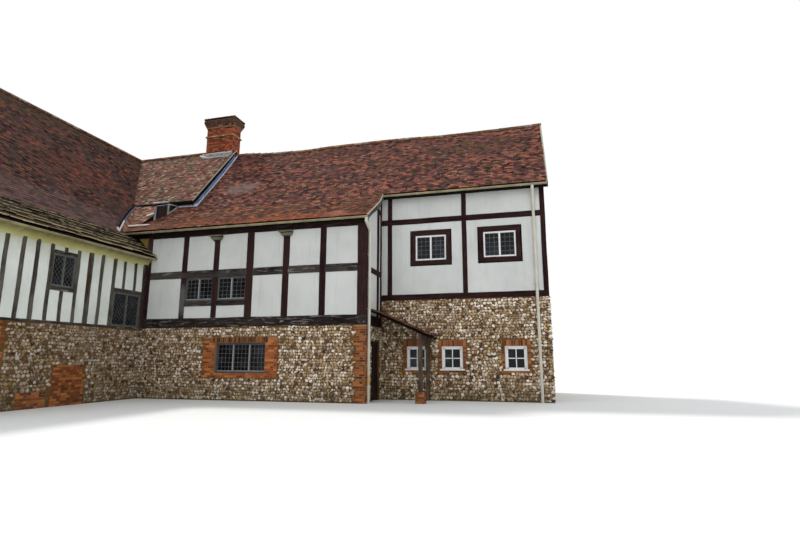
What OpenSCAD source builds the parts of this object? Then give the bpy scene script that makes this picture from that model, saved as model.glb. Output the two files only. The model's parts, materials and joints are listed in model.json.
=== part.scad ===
// Half timbered house: a main range with a framed outshot, and a wing that runs forward from it.
// Sizes are in millimetres. The origin is the inner corner of the two fronts at ground level.
// +X runs along the main front, +Y towards the back and +Z up.

/* [Plan] */
// Width of the wing across its side walls
wing_w = 9800; // [8000:50:11000]
// How far the wing runs forward of the main front wall
wing_l = 7500; // [6000:50:9500]
// Length of the framed outshot along the main front
outshot_l = 8506; // [8400:1:9400]
// How far the outshot stands in front of the main range
outshot_d = 1750; // [1600:10:2000]
// Length of the main range beyond the outshot
recess_l = 5744; // [5500:1:7000]
// Depth of the main range across its side walls
range_d = 5150; // [4700:10:5800]

/* [Walls] */
// Thickness of the flint walls
flint_t = 450; // [350:10:500]
// Height of the flint ground storey under the outshot
flint_h = 2450; // [2350:10:2600]
// Height of the flint walls of the wing
wing_flint_h = 2390; // [2300:10:2500]
// Height of the flint wall beside the porch
recess_flint_h = 3400; // [3250:10:3600]
// Thickness of the timber frames
frame_t = 180; // [150:5:220]
// Thickness of the plaster panels
plaster_t = 90; // [60:5:110]
// How far the plaster stands back from the face of the timbers
plaster_back = 18; // [8:1:30]

/* [Main front frame] */
// Height of the sill beam on the flint wall
sill_h = 334; // [280:2:360]
// Underside of the mid rail
rail_z = 4219; // [4100:1:4300]
// Height of the mid rail
rail_h = 267; // [220:1:300]
// Underside of the wall plate
plate_z = 5749; // [5650:1:5800]
// Width of the posts between the corners
post_w = 165; // [140:5:190]
// Width of the principal post
principal_w = 220; // [190:5:260]
// Width of the post at the right corner
corner_w = 311; // [250:1:340]
// Width of the post at the inner corner
inner_post_w = 131; // [110:1:160]
// Underside of the windows' sill rail
front_win_z = 3380; // [3300:10:3450]
// Height of the sill rail under the windows
win_rail_h = 180; // [120:5:220]
// Width of the moulded brackets under the plate
bracket_w = 450; // [360:10:520]
// Height of the moulded brackets
bracket_h = 220; // [160:5:260]
// How far the moulded brackets stand out from the wall
bracket_d = 150; // [90:5:180]

/* [Wing frame] */
// Height of the wing's sill beam
wing_sill_h = 80; // [70:2:140]
// Height at which the coved eaves start
cove_z = 4716; // [4650:1:4760]
// Underside of the wing's wall plate
wing_plate_z = 4980; // [4950:5:5000]
// Distance between the wing's studs
stud_pitch = 460; // [420:5:490]
// Width of a stud
stud_w = 120; // [90:5:140]
// Width of the posts at the wing's corners
wing_post_w = 200; // [160:5:240]
// Width of the brick pier at the wing's front corner
wing_pier_w = 780; // [600:10:900]

/* [Roofs] */
// Thickness of the tiled roofs, rafters and battens included
roof_t = 160; // [130:5:180]
// Thickness of the tile layer that shows at the eaves
tile_nose = 55; // [40:1:60]
// Height of the outshot's eave at its tiles
eave_z = 6035; // [6000:5:6060]
// How far the outshot's tiles stand out from the wall
eave_out = 270; // [230:5:300]
// Pitch of the outshot roof in degrees
outshot_pitch = 32.4; // [30:0.1:35]
// Length of the bellcast where the outshot roof steepens
bellcast_l = 500; // [300:10:700]
// Pitch of the main roof in degrees
main_pitch = 50; // [46:0.5:53]
// How far the main roof's own eaves stand out from the walls
main_eave_out = 300; // [260:5:340]
// Height of the raised roof above the main roof
raise_h = 395; // [330:5:450]
// Thickness of the raised roof
raised_t = 60; // [50:5:90]
// How far up the slope the raised roof's eave stands back from the main eave
raised_eave_back = 60; // [0:10:120]
// How far the raised roof stands out over the boards under its eave
raised_over = 190; // [120:10:260]
// Right hand edge of the raised roof, beside the chimney
raised_x = 500; // [440:10:600]
// Height of the wing's eaves at their stone slabs
wing_eave_z = 5065; // [5050:5:5090]
// How far the wing's eaves stand out from the wall
wing_eave_out = 370; // [350:5:400]
// Pitch of the stone slabs in degrees
stone_pitch = 33.6; // [31:0.1:36]
// Thickness of the stone slab courses
stone_t = 95; // [80:5:110]
// Width of the stone slab courses, measured flat
stone_w = 1420; // [1200:10:1600]
// Pitch of the wing's tiled roof in degrees
wing_pitch = 53; // [50:0.5:55]
// How far the roofs stand out past the gables
verge_out = 110; // [80:5:140]
// Thickness of the bargeboards
barge_t = 30; // [22:1:40]
// Height of the bargeboards
barge_h = 200; // [160:5:240]
// Radius of the ridge tiles
ridge_r = 125; // [110:5:150]
// Thickness of the ridge tiles
ridge_tile_t = 18; // [14:1:25]

/* [Chimney] */
// Width of the stack along the ridge
stack_w = 1400; // [1250:10:1440]
// Depth of the stack across the ridge
stack_d = 620; // [580:10:780]
// Distance from the stack's right face to the edge of the raised roof
stack_back = 60; // [40:5:120]
// Height of the stack to the top of its cap
stack_h = 12700; // [12500:10:12900]
// Height of the corbelled cap
cap_h = 500; // [420:10:560]
// How far the cap oversails the stack
cap_out = 120; // [90:5:190]
// Distance from the top of the stack down to the foot of the string course
string_z = 960; // [850:10:1100]
// Height of the string course
string_h = 70; // [60:1:80]
// How far the string course stands out
string_out = 45; // [30:1:60]
// Width of a flue
flue_w = 250; // [225:5:280]

/* [Rainwater] */
// Outer radius of the gutters
gutter_r = 60; // [52:1:65]
// Thickness of the gutters
gutter_t = 6; // [4:1:8]
// Outer radius of the downpipes
pipe_r = 48; // [38:1:52]

/* [Windows] */
// Width of a window frame's members
win_bar = 55; // [45:1:65]
// Depth of a window frame
win_d = 75; // [60:1:90]
// Thickness of the glass with its leads
glass_t = 6; // [4:1:8]
// Left edge of the window in the outshot's flint wall
ground_win_x = 3060; // [2950:10:3150]
// Width of that window
ground_win_w = 1920; // [1800:10:2000]
// Sill height of that window
ground_win_z = 900; // [850:10:950]
// Height of that window
ground_win_h = 1010; // [950:10:1060]
// Width of the brick jambs beside it
jamb_w = 455; // [400:5:480]
// Height of the brick heads
head_h = 200; // [180:5:225]
// Sill height of the casements
casement_z = 990; // [950:10:1020]
// Height of the casements
casement_h = 800; // [750:10:850]
// Width of the casements
casement_w = 710; // [650:10:740]
// Height of a brick course with its joint
course_h = 75; // [70:1:80]

/* [Porch] */
// Width of the porch out from the return wall
porch_w = 1990; // [1850:10:2050]
// Height of the porch roof at its eave
porch_eave_z = 2120; // [2080:10:2180]
// Pitch of the porch roof in degrees
porch_pitch = 24; // [20:1:27]
// Thickness of the porch roof
porch_roof_t = 90; // [70:5:110]
// Thickness of the porch posts
porch_post_w = 120; // [100:5:150]
// Distance from the return wall to the porch posts
porch_post_x = 1614; // [1550:2:1700]
// Width of the brick plinths
plinth_w = 290; // [260:5:330]
// Height of the brick plinths
plinth_h = 350; // [300:10:420]
// Width of the porch door
door_w = 900; // [800:10:950]
// Height of the porch door
door_h = 1950; // [1850:10:2000]

/* [Floors] */
// Thickness of the ground floor
ground_floor_t = 120; // [80:5:150]
// Height of the upper floor's surface
upper_floor_z = 2780; // [2720:10:2800]
// Thickness of the upper floor
upper_floor_t = 180; // [150:5:200]

/* [Hidden] */
$fn = 48;

// Plan lines that the pieces share
gable_x = outshot_l + recess_l;
back_y = outshot_d + range_d;
ridge_y = outshot_d + range_d / 2;
wing_ridge_x = -wing_w / 2;
wing_south_y = -wing_l;
far = 30000;

// Roof lines. The tops are the tile surfaces, and each thickness is measured upright.
main_eave_y = outshot_d - main_eave_out;
outshot_s = tan(outshot_pitch);
main_s = tan(main_pitch);
bell_y = main_eave_y - bellcast_l;
bell_z = eave_z + outshot_s * (bell_y + eave_out);
main_eave_z = bell_z + (outshot_s + main_s) / 2 * bellcast_l;
main_ridge_z = main_eave_z + main_s * (ridge_y - main_eave_y);
rear_eave_y = 2 * ridge_y - main_eave_y;
main_tv = roof_t / cos(main_pitch);
outshot_tv = roof_t / cos(outshot_pitch);
raised_tv = raised_t / cos(main_pitch);
rafter_back = gutter_r / 2;

stone_s = tan(stone_pitch);
wing_s = tan(wing_pitch);
stone_x = wing_eave_out - stone_w;
stone_top_z = wing_eave_z + stone_s * stone_w;
wing_ridge_z = stone_top_z + wing_s * (stone_x - wing_ridge_x);
stone_tv = stone_t / cos(stone_pitch);
wing_tv = roof_t / cos(wing_pitch);
wing_rafter_back = 95;

// The bellcast is a parabola from the outshot's pitch to the main pitch.
bell_steps = 5;
function bell_top(y) = bell_z + outshot_s * (y - bell_y)
    + (main_s - outshot_s) / (2 * bellcast_l) * pow(y - bell_y, 2);
function outshot_top(y) = y < bell_y ? eave_z + outshot_s * (y + eave_out) : bell_top(y);
function main_top(y) = main_eave_z + main_s * (y - main_eave_y);
function wing_top(x) = x > stone_x ? wing_eave_z + stone_s * (wing_eave_out - x)
    : stone_top_z + wing_s * (stone_x - x);
// Where the wing's tiled slope reaches a given height
function wing_x(z) = stone_x - (z - stone_top_z) / wing_s;
bell_ys = [for (i = [1:bell_steps]) bell_y + bellcast_l * i / bell_steps];

// The raised roof's eave and the boards under it
raised_eave_y = main_eave_y + raised_eave_back;
step_y = raised_eave_y + raised_over;
function raised_top(y) = main_top(y) + raise_h;
function raised_under(y) = main_top(y) + raise_h - raised_tv;
// The low tiled slope beside the valley runs from the outshot roof up to under the raised eave.
low_slope_y = 300;
low_slope_gap = 20;
low_slope_s = (raised_under(raised_eave_y) - low_slope_gap - outshot_top(low_slope_y))
    / (raised_eave_y - low_slope_y);
function low_slope_top(y) = outshot_top(low_slope_y) + low_slope_s * (y - low_slope_y);

stack_x1 = raised_x - stack_back;
stack_x0 = stack_x1 - stack_w;
stack_y0 = ridge_y - 0.43 * stack_d;
stack_y1 = stack_y0 + stack_d;
// The corbelled top of the stack is a piece of its own, from above the ridge.
stack_top_h = 1700;
stack_top_z0 = stack_h - stack_top_h;

lead_t = 6;
lead_w = 130;

// Posts of the main front: centre and width
front_post_list = [
    [1581, post_w], [2879, post_w], [4227, principal_w], [5606, post_w + 25], [6969, post_w + 5]
];
bracket_posts = [1, 3];
front_sill_z = flint_h;
front_post_z = flint_h + sill_h;

// Small differences between the hewn studs of the wing: along the wall and in width
stud_shift = [0, 30, 12, 59, 53, 42, 40, 35, 33, -3, 0];
stud_extra = [0, 0, 30, 5, 60, 0, 0, 0, 5, 0, 0];
first_stud = 550;
stud_n = floor((wing_l - wing_post_w - first_stud - stud_w) / stud_pitch);
lintel_h = 120;
// Where each stud stands from the inner corner, and how wide it is
function stud_u(i) = first_stud + stud_pitch * i + (i < len(stud_shift) ? stud_shift[i] : 0);
function stud_wide(i) = stud_w + (i < len(stud_extra) ? stud_extra[i] : 0);
// The tall window stands between two studs, and the low one beside the corner post.
tall_win = [stud_u(5) + stud_wide(5) / 2, stud_u(7) - stud_wide(7) / 2, 3500, 4500];
tall_head_h = 90;
low_win = [wing_post_w, stud_u(2) - stud_wide(2) / 2, wing_flint_h + wing_sill_h, 3630];

// Windows of the plain walls
upper_win_w = 1100;
upper_win_h = 790;
upper_win_z = 3380;
recess_win_z = 4800;
recess_win_h = 900;
// Sill and rails of the plain frames
plain_sill_h = 200;
gable_rails = [recess_flint_h + 2500, main_eave_z - 16, main_eave_z + 1434];
rear_rails = [rail_z, plate_z];
wing_end_rails = [wing_plate_z - 60, wing_plate_z + 2320, wing_plate_z + 4220];

// Straight pieces and profiles

// A block between two corners
module box(x0, x1, y0, y1, z0, z1) translate([x0, y0, z0]) cube([x1 - x0, y1 - y0, z1 - z0]);

// A profile drawn in Y and Z, run along X
module along_x(x0, x1) translate([x0, 0, 0]) rotate([90, 0, 90]) linear_extrude(x1 - x0) children();

// A profile drawn in X and Z, run along Y
module along_y(y0, y1) translate([0, y1, 0]) rotate([90, 0, 0]) linear_extrude(y1 - y0) children();

// Mirrors a shape across the wing's ridge
module across_wing() translate([2 * wing_ridge_x, 0, 0]) mirror([1, 0, 0]) children();

// Mirrors a shape across the main ridge
module across_range() translate([0, 2 * ridge_y, 0]) mirror([0, 1, 0]) children();

// Each wall is drawn flat, along X with its outer face at Y = 0, and then set in its place.
module facing_east(x, y0) translate([x, y0, 0]) rotate([0, 0, 90]) children();
module facing_west(x, y1) translate([x, y1, 0]) rotate([0, 0, -90]) children();
module facing_north(x1, y) translate([x1, y, 0]) rotate([0, 0, 180]) children();
module facing_south(x0, y) translate([x0, y, 0]) children();

// Roof profiles

module outshot_top_line_mass() polygon(concat(
    [[-far, -far], [-far, eave_z - outshot_s * (far - eave_out)], [bell_y, bell_z]],
    [for (y = bell_ys) [y, outshot_top(y)]],
    [[main_eave_y, -far]]));

// Everything below the wing's roof surface on its east side
module wing_mass(lift = 0) along_y(-far, far) polygon([
    [far, -far], [far, wing_top(far) + lift], [stone_x, stone_top_z + lift],
    [wing_ridge_x, wing_ridge_z + lift], [wing_ridge_x, -far]
]);

// Everything under the boards of the outshot roof and the front slope of the main roof
module under_main_roof(x0, x1) along_x(x0, x1) polygon(concat(
    [[-eave_out, 0], [-eave_out, eave_z - outshot_tv], [bell_y, bell_z - outshot_tv]],
    [for (y = bell_ys) if (y < main_eave_y) [y, outshot_top(y) - outshot_tv]],
    [[main_eave_y + rafter_back, main_top(main_eave_y + rafter_back) - main_tv],
     [ridge_y, main_ridge_z - main_tv],
     [rear_eave_y, main_eave_z - main_tv], [rear_eave_y, 0]]));

// Everything under the boards of the wing's roof
module under_wing_roof(y0, y1) {
    module half() along_y(y0, y1) polygon([
        [wing_eave_out, 0], [wing_eave_out, wing_eave_z - stone_tv], [stone_x, stone_top_z - stone_tv],
        [stone_x, stone_top_z - wing_tv], [wing_ridge_x, wing_ridge_z - wing_tv], [wing_ridge_x, 0]
    ]);
    half();
    across_wing() half();
}

// Walls of flint

module front_flint_wall() color("#9c8f7f") difference() {
    box(-flint_t, outshot_l, 0, flint_t, 0, flint_h);
    front_brick_shape();
    ground_window_hole();
}

module ground_window_hole()
    box(ground_win_x, ground_win_x + ground_win_w, -1, flint_t + 1,
        ground_win_z, ground_win_z + ground_win_h);

// Side walls: the return wall beside the porch and the east gable wall
module side_flint_walls() color("#978a7b") {
    difference() {
        box(outshot_l - flint_t, outshot_l, flint_t, outshot_d, 0, flint_h);
        facing_east(outshot_l, door_y) box(0, door_w, -1, flint_t + 1, -1, door_h);
    }
    difference() {
        box(gable_x - flint_t, gable_x, outshot_d, back_y - flint_t, 0, recess_flint_h);
        facing_east(gable_x, outshot_d) casement_hole(gable_casement_u);
        facing_east(gable_x, outshot_d) casement_brick(gable_casement_u);
    }
}
door_y = 620;
gable_casement_u = range_d / 2 - casement_w / 2;

// The casements of the recess wall, by their left edges
recess_casements = [924, 2144, 4244];
// The casements of the rear wall, by their left edges seen from behind
rear_casements = [1500, 5200, 9300];

module casement_hole(u) box(u, u + casement_w, -1, flint_t + 1, casement_z, casement_z + casement_h);

// Brick jambs, sill course and head round a casement
module casement_brick(u, side = 115) difference() {
    box(u - side, u + casement_w + side, 0, flint_t, casement_z - course_h, casement_z + casement_h + head_h);
    casement_hole(u);
}

module recess_flint_wall() color("#a09282") difference() {
    box(outshot_l - flint_t, gable_x - flint_t, outshot_d, outshot_d + flint_t, 0, recess_flint_h);
    facing_south(outshot_l, outshot_d) for (u = recess_casements) {
        casement_hole(u);
        casement_brick(u);
    }
}

module rear_flint_wall() color("#988b7c") difference() {
    box(0, gable_x, back_y - flint_t, back_y, 0, flint_h);
    facing_north(gable_x, back_y) for (u = rear_casements) {
        casement_hole(u);
        casement_brick(u);
    }
}

wing_side_casements = [1500, 4600, 8200, 11600];

module wing_side_flint_walls() color("#958878") {
    difference() {
        box(-flint_t, 0, wing_south_y + flint_t, 0, 0, wing_flint_h);
        wing_quoin();
        brick_patch();
    }
    difference() {
        box(-wing_w, -wing_w + flint_t, wing_south_y + flint_t, back_y - flint_t, 0, wing_flint_h);
        facing_west(-wing_w, back_y) for (u = wing_side_casements) {
            casement_hole(u);
            casement_brick(u);
        }
    }
}

wing_end_casements = [1900, 7100];

module wing_end_flint_walls() color("#918474") {
    difference() {
        box(-wing_w, 0, wing_south_y, wing_south_y + flint_t, 0, wing_flint_h);
        facing_south(-wing_w, wing_south_y) for (u = wing_end_casements) {
            casement_hole(u);
            casement_brick(u);
        }
        wing_quoin();
    }
    difference() {
        box(-wing_w, 0, back_y - flint_t, back_y, 0, wing_flint_h);
        facing_north(0, back_y) for (u = wing_end_casements) {
            casement_hole(u);
            casement_brick(u);
        }
    }
}

// Brickwork

// A toothed brick corner pier: wide and narrow blocks of three courses in turn
module toothed_pier(w, tooth, d, h) {
    block_h = 3 * course_h;
    n = ceil(h / block_h);
    for (i = [0:n - 1])
        translate([-w - (i % 2 == 0 ? tooth : 0), 0, i * block_h])
            cube([w + (i % 2 == 0 ? tooth : 0), d, min(block_h, h - i * block_h)]);
}

module front_brick_shape() {
    translate([outshot_l, 0, 0]) toothed_pier(corner_w, 100, flint_t, flint_h);
    difference() {
        box(ground_win_x - jamb_w, ground_win_x + ground_win_w + jamb_w, 0, flint_t,
            ground_win_z - 2 * course_h, ground_win_z + ground_win_h + head_h);
        ground_window_hole();
    }
}

module front_brickwork() color("#96503a") front_brick_shape();

module recess_brickwork() color("#9a543d") {
    facing_south(outshot_l, outshot_d) for (u = recess_casements) casement_brick(u);
    facing_east(gable_x, outshot_d) casement_brick(gable_casement_u);
    facing_north(gable_x, back_y) for (u = rear_casements) casement_brick(u);
}

// The brick corner of the wing's front end
module wing_quoin() translate([0, wing_south_y, 0]) rotate([0, 0, 90]) mirror([1, 0, 0])
    toothed_pier(wing_pier_w, 115, flint_t, wing_flint_h);

// A patch of brick low in the wing's flint wall
patch_y = -4350;
module brick_patch() box(-flint_t / 2, 0, patch_y, patch_y + 900, 0, 6 * course_h);

module wing_brickwork() color("#8f4d38") {
    wing_quoin();
    brick_patch();
    facing_south(-wing_w, wing_south_y) for (u = wing_end_casements) casement_brick(u);
    facing_north(0, back_y) for (u = wing_end_casements) casement_brick(u);
    facing_west(-wing_w, back_y) for (u = wing_side_casements) casement_brick(u);
}

// Frame of the main front

// The runs of wall between the posts, from edge to edge
front_edges = concat([0 + inner_post_w],
    [for (p = front_post_list) each [p[0] - p[1] / 2, p[0] + p[1] / 2]], [outshot_l - corner_w]);
front_bays = [for (i = [0:2:len(front_edges) - 2]) [front_edges[i], front_edges[i + 1]]];
window_bays = [1, 2];

module front_beams() color("#3d2f2c") {
    box(0, outshot_l, 0, frame_t, front_sill_z, front_post_z);
    for (b = front_bays) box(b[0], b[1], 0, frame_t, rail_z, rail_z + rail_h);
    for (i = window_bays)
        box(front_bays[i][0], front_bays[i][1], 0, frame_t, front_win_z - win_rail_h, front_win_z);
    intersection() {
        box(stone_x, outshot_l, 0, frame_t, plate_z, eave_z + 400);
        under_main_roof(stone_x - 1, outshot_l + 1);
    }
}

module front_posts() color("#34282a") {
    box(0, inner_post_w, 0, frame_t, front_post_z, plate_z);
    box(outshot_l - corner_w, outshot_l, 0, frame_t, front_post_z, plate_z);
    for (p = front_post_list) box(p[0] - p[1] / 2, p[0] + p[1] / 2, 0, frame_t, front_post_z, plate_z);
}

module front_plaster_panels() color("#dcdcd6") {
    y0 = plaster_back;
    y1 = plaster_back + plaster_t;
    for (i = [0:len(front_bays) - 1]) {
        b = front_bays[i];
        is_window = len(search(i, window_bays)) > 0;
        box(b[0], b[1], y0, y1, front_post_z, is_window ? front_win_z - win_rail_h : rail_z);
        box(b[0], b[1], y0, y1, rail_z + rail_h, plate_z);
    }
    // The wedge of wall that stands over the wing's eaves
    box(stone_x, 0, 0, frame_t, wing_plate_z + 120, plate_z);
}

// Moulded brackets. The moulding's share of its full reach at each share of the height, from the
// foot up: a fillet, a round, a fillet, a hollow and a flat slab at the top.
bracket_curve = concat([[0, 0], [0.12, 0]],
    [for (i = [0:4]) let (a = 22.5 * i) [0.12 + 0.26 * sin(a), 0.08 + 0.34 * (1 - cos(a))]],
    [[0.38, 0.5], [0.44, 0.5]],
    [for (i = [0:4]) let (a = 22.5 * i) [0.44 + 0.3 * (1 - cos(a)), 0.5 + 0.4 * sin(a)]],
    [[0.74, 1], [1, 1]]);
// Half of the moulding's profile, from a reach at the foot to a reach at the top
function bracket_side(r0, r1) = [for (c = bracket_curve) [r0 + (r1 - r0) * c[1], -bracket_h * (1 - c[0])]];
module post_bracket(w) {
    front = bracket_side(w / 2 + 15, bracket_w / 2);
    side = bracket_side(20, bracket_d);
    intersection() {
        along_y(-bracket_d - 1, 0)
            polygon(concat(front, [for (k = [len(front) - 1:-1:0]) [-front[k][0], front[k][1]]]));
        along_x(-bracket_w, bracket_w)
            polygon(concat([for (c = side) [-c[0], c[1]]], [[0, 0], [0, -bracket_h]]));
    }
}
module post_brackets() color("#6f7064") for (i = bracket_posts)
    translate([front_post_list[i][0], 0, plate_z]) post_bracket(front_post_list[i][1]);

// Frames of the plain walls

// A lattice of sill, plate, posts and rails with gaps for the windows
module lattice(l, z0, z1, sill, posts, rails, wins) {
    box(0, l, 0, frame_t, z0, z0 + sill);
    for (p = posts) box(p - post_w / 2, p + post_w / 2, 0, frame_t, z0, z1);
    for (z = rails) box(0, l, 0, frame_t, z, z + rail_h * 0.75);
    for (w = wins) box(w[0] - post_w, w[1] + post_w, 0, frame_t, w[2] - post_w, w[3] + post_w);
}

module window_gaps(wins) for (w = wins) box(w[0], w[1], -1, frame_t + 1, w[2], w[3]);

module plaster_slab(l, z0, z1) box(0, l, plaster_back, plaster_back + plaster_t, z0, z1);

function even_posts(l, n) = [for (i = [0:n]) post_w / 2 + (l - post_w) * i / n];

// Return wall
return_l = outshot_d - frame_t;
return_posts = [return_l - 430, return_l - post_w / 2];
// The outer post is wider than the others, and a brace runs from it down to the corner post.
return_post_w = 240;
return_brace_z = 6750;
module return_brace() along_x(outshot_l - frame_t, outshot_l) {
    y0 = frame_t + return_posts[0];
    y1 = frame_t + return_posts[1];
    polygon([[y0, return_brace_z - 70], [y0, return_brace_z + 70],
        [y1, return_brace_z + 70 - 0.9 * (y1 - y0)], [y1, return_brace_z - 70 - 0.9 * (y1 - y0)]]);
}
module return_frame_shape() intersection() {
    union() {
        facing_east(outshot_l, frame_t)
            lattice(return_l, flint_h, far / 3, sill_h, return_posts, [rail_z], []);
        facing_east(outshot_l, frame_t)
            box(return_posts[0] - return_post_w / 2, return_posts[0] + return_post_w / 2, 0, frame_t,
                flint_h, far / 3);
        return_brace();
    }
    under_main_roof(outshot_l - frame_t, outshot_l);
}
module return_panel_shape() difference() {
    intersection() {
        facing_east(outshot_l, frame_t) plaster_slab(return_l, flint_h, far / 3);
        under_main_roof(outshot_l - frame_t, outshot_l);
    }
    return_frame_shape();
}

// East gable
gable_l = range_d - 2 * frame_t;
gable_wins = [[gable_l / 2 - 550, gable_l / 2 + 550, 4700, 5500]];
module gable_frame_shape() intersection() {
    facing_east(gable_x, outshot_d + frame_t) difference() {
        lattice(gable_l, recess_flint_h, far / 2, plain_sill_h, [for (i = [1:3]) gable_l * i / 4],
            gable_rails, gable_wins);
        window_gaps(gable_wins);
    }
    under_main_roof(gable_x - frame_t, gable_x);
}
module gable_panel_shape() difference() {
    intersection() {
        facing_east(gable_x, outshot_d + frame_t) plaster_slab(gable_l, recess_flint_h, far / 2);
        under_main_roof(gable_x - frame_t, gable_x);
    }
    gable_frame_shape();
    facing_east(gable_x, outshot_d + frame_t) window_gaps(gable_wins);
}

module side_timber_frames() color("#3a2c2a") {
    return_frame_shape();
    gable_frame_shape();
}
module side_plaster_panels() color("#dadad4") {
    return_panel_shape();
    gable_panel_shape();
}

// Recess wall
recess_wins = [for (u = [1250, 3650]) [u, u + upper_win_w, recess_win_z, recess_win_z + recess_win_h]];
recess_posts = [300, 3000, recess_l - post_w / 2];
recess_rail_z = 6150;
module recess_frame_shape() intersection() {
    facing_south(outshot_l, outshot_d) difference() {
        lattice(recess_l, recess_flint_h, far / 3, plain_sill_h, recess_posts, [recess_rail_z], recess_wins);
        window_gaps(recess_wins);
    }
    under_main_roof(outshot_l, gable_x);
    box(outshot_l, gable_x, 0, far, 0, main_plate_z + 500);
}
main_plate_z = 7150;
module main_plate(x0, x1) intersection() {
    box(x0, x1, outshot_d, outshot_d + frame_t, main_plate_z, far / 3);
    under_main_roof(x0, x1);
}
module recess_timber_frame() color("#3b2d2b") {
    recess_frame_shape();
    main_plate(outshot_l, gable_x);
}
module recess_plaster_panels() color("#d9d9d2") difference() {
    facing_south(outshot_l, outshot_d) plaster_slab(recess_l, recess_flint_h, main_plate_z);
    recess_frame_shape();
    facing_south(outshot_l, outshot_d) window_gaps(recess_wins);
}

// Rear wall
rear_wins = [for (u = [1450, 5300, 9200]) [u, u + upper_win_w, upper_win_z, upper_win_z + upper_win_h]];
module rear_frame_shape() intersection() {
    facing_north(gable_x, back_y) difference() {
        lattice(gable_x, flint_h, far / 3, sill_h, even_posts(gable_x, 8), rear_rails, rear_wins);
        window_gaps(rear_wins);
    }
    under_main_roof(0, gable_x);
}
module rear_timber_frame() color("#392c2a") {
    rear_frame_shape();
    across_range() main_plate(0, gable_x);
}
module rear_plaster_panels() color("#d6d6cf") {
    difference() {
        facing_north(gable_x, back_y) plaster_slab(gable_x, flint_h, main_plate_z);
        rear_frame_shape();
        facing_north(gable_x, back_y) window_gaps(rear_wins);
    }
    rear_wedge();
}

// The wedge of back wall between the wing's roof and the main roof
wedge_x = wing_x(main_eave_z);
module rear_wedge() difference() {
    intersection() {
        box(wedge_x, 0, back_y - frame_t, back_y - plaster_back, wing_plate_z, far / 3);
        under_main_roof(wedge_x, 0);
    }
    under_wing_roof(wing_south_y, back_y);
    wing_slope();
}

// Frame of the wing's long sides

wing_stud_z = wing_flint_h + wing_sill_h;

// One stud of the visible side as upright pieces clear of the windows
module wing_stud(i) {
    u = stud_u(i);
    w = stud_wide(i);
    in_low = u > low_win[0] && u < low_win[1];
    in_tall = u > tall_win[0] && u < tall_win[1];
    z0 = in_low ? low_win[3] + lintel_h : wing_stud_z;
    if (in_tall) {
        box(-frame_t, 0, -u - w / 2, -u + w / 2, z0, tall_win[2] - lintel_h);
        box(-frame_t, 0, -u - w / 2, -u + w / 2, tall_win[3] + tall_head_h, wing_plate_z);
    } else {
        box(-frame_t, 0, -u - w / 2, -u + w / 2, z0, wing_plate_z);
    }
}

module wing_east_studs() {
    for (i = [0:stud_n]) wing_stud(i);
    box(-frame_t, 0, -low_win[0], 0, wing_stud_z, wing_plate_z);
    box(-frame_t, 0, wing_south_y, wing_south_y + wing_post_w, wing_stud_z, wing_plate_z);
}

// The west side runs the whole depth of the house, with the same studs evenly spaced.
west_l = wing_l + back_y;
west_n = floor((west_l - 2 * wing_post_w) / stud_pitch);
west_pitch = (west_l - wing_post_w) / west_n;
west_wins = [for (k = [3, 12, 21, west_n - 3])
    [k * west_pitch + wing_post_w / 2 + stud_w / 2, (k + 2) * west_pitch + wing_post_w / 2 - stud_w / 2,
     3250, 4400]];
module west_stud(c, w, z0, z1)
    box(-wing_w, -wing_w + frame_t, back_y - c - w / 2, back_y - c + w / 2, z0, z1);
module wing_west_studs() for (i = [0:west_n]) {
    w = (i == 0 || i == west_n) ? wing_post_w : stud_w;
    c = wing_post_w / 2 + i * west_pitch;
    behind = [for (g = west_wins) if (c > g[0] && c < g[1]) g];
    if (len(behind) > 0) {
        west_stud(c, w, wing_stud_z, behind[0][2] - lintel_h);
        west_stud(c, w, behind[0][3] + lintel_h, wing_plate_z);
    } else {
        west_stud(c, w, wing_stud_z, wing_plate_z);
    }
}

module wing_side_studs() color("#372a2a") {
    wing_east_studs();
    wing_west_studs();
}

// The beams of the low window and the tall window reach from stud to stud.
function stud_left(u) = max([for (i = [0:stud_n]) if (stud_u(i) < u) stud_u(i) + stud_wide(i) / 2]);
function stud_right(u) = min([for (i = [0:stud_n]) if (stud_u(i) > u) stud_u(i) - stud_wide(i) / 2]);

module wing_plates() intersection() {
    union() {
        box(-frame_t, 0, wing_south_y, 0, wing_plate_z, wing_eave_z + 500);
        box(-wing_w, -wing_w + frame_t, wing_south_y, back_y, wing_plate_z, wing_eave_z + 500);
    }
    under_wing_roof(wing_south_y, back_y);
}

module wing_side_beams() color("#4a4040") {
    box(-frame_t, 0, wing_south_y, 0, wing_flint_h, wing_stud_z);
    box(-wing_w, -wing_w + frame_t, wing_south_y, back_y, wing_flint_h, wing_stud_z);
    wing_plates();
    box(-frame_t, 0, -stud_right(low_win[1]), -low_win[0], low_win[3], low_win[3] + lintel_h);
    tall_y = [-stud_right(tall_win[1]), -stud_left(tall_win[0])];
    box(-frame_t, 0, tall_y[0], tall_y[1], tall_win[2] - lintel_h, tall_win[2]);
    box(-frame_t, 0, tall_y[0], tall_y[1], tall_win[3], tall_win[3] + tall_head_h);
    for (g = west_wins) {
        box(-wing_w, -wing_w + frame_t, back_y - g[1], back_y - g[0], g[2] - lintel_h, g[2]);
        box(-wing_w, -wing_w + frame_t, back_y - g[1], back_y - g[0], g[3], g[3] + lintel_h);
    }
}

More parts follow.
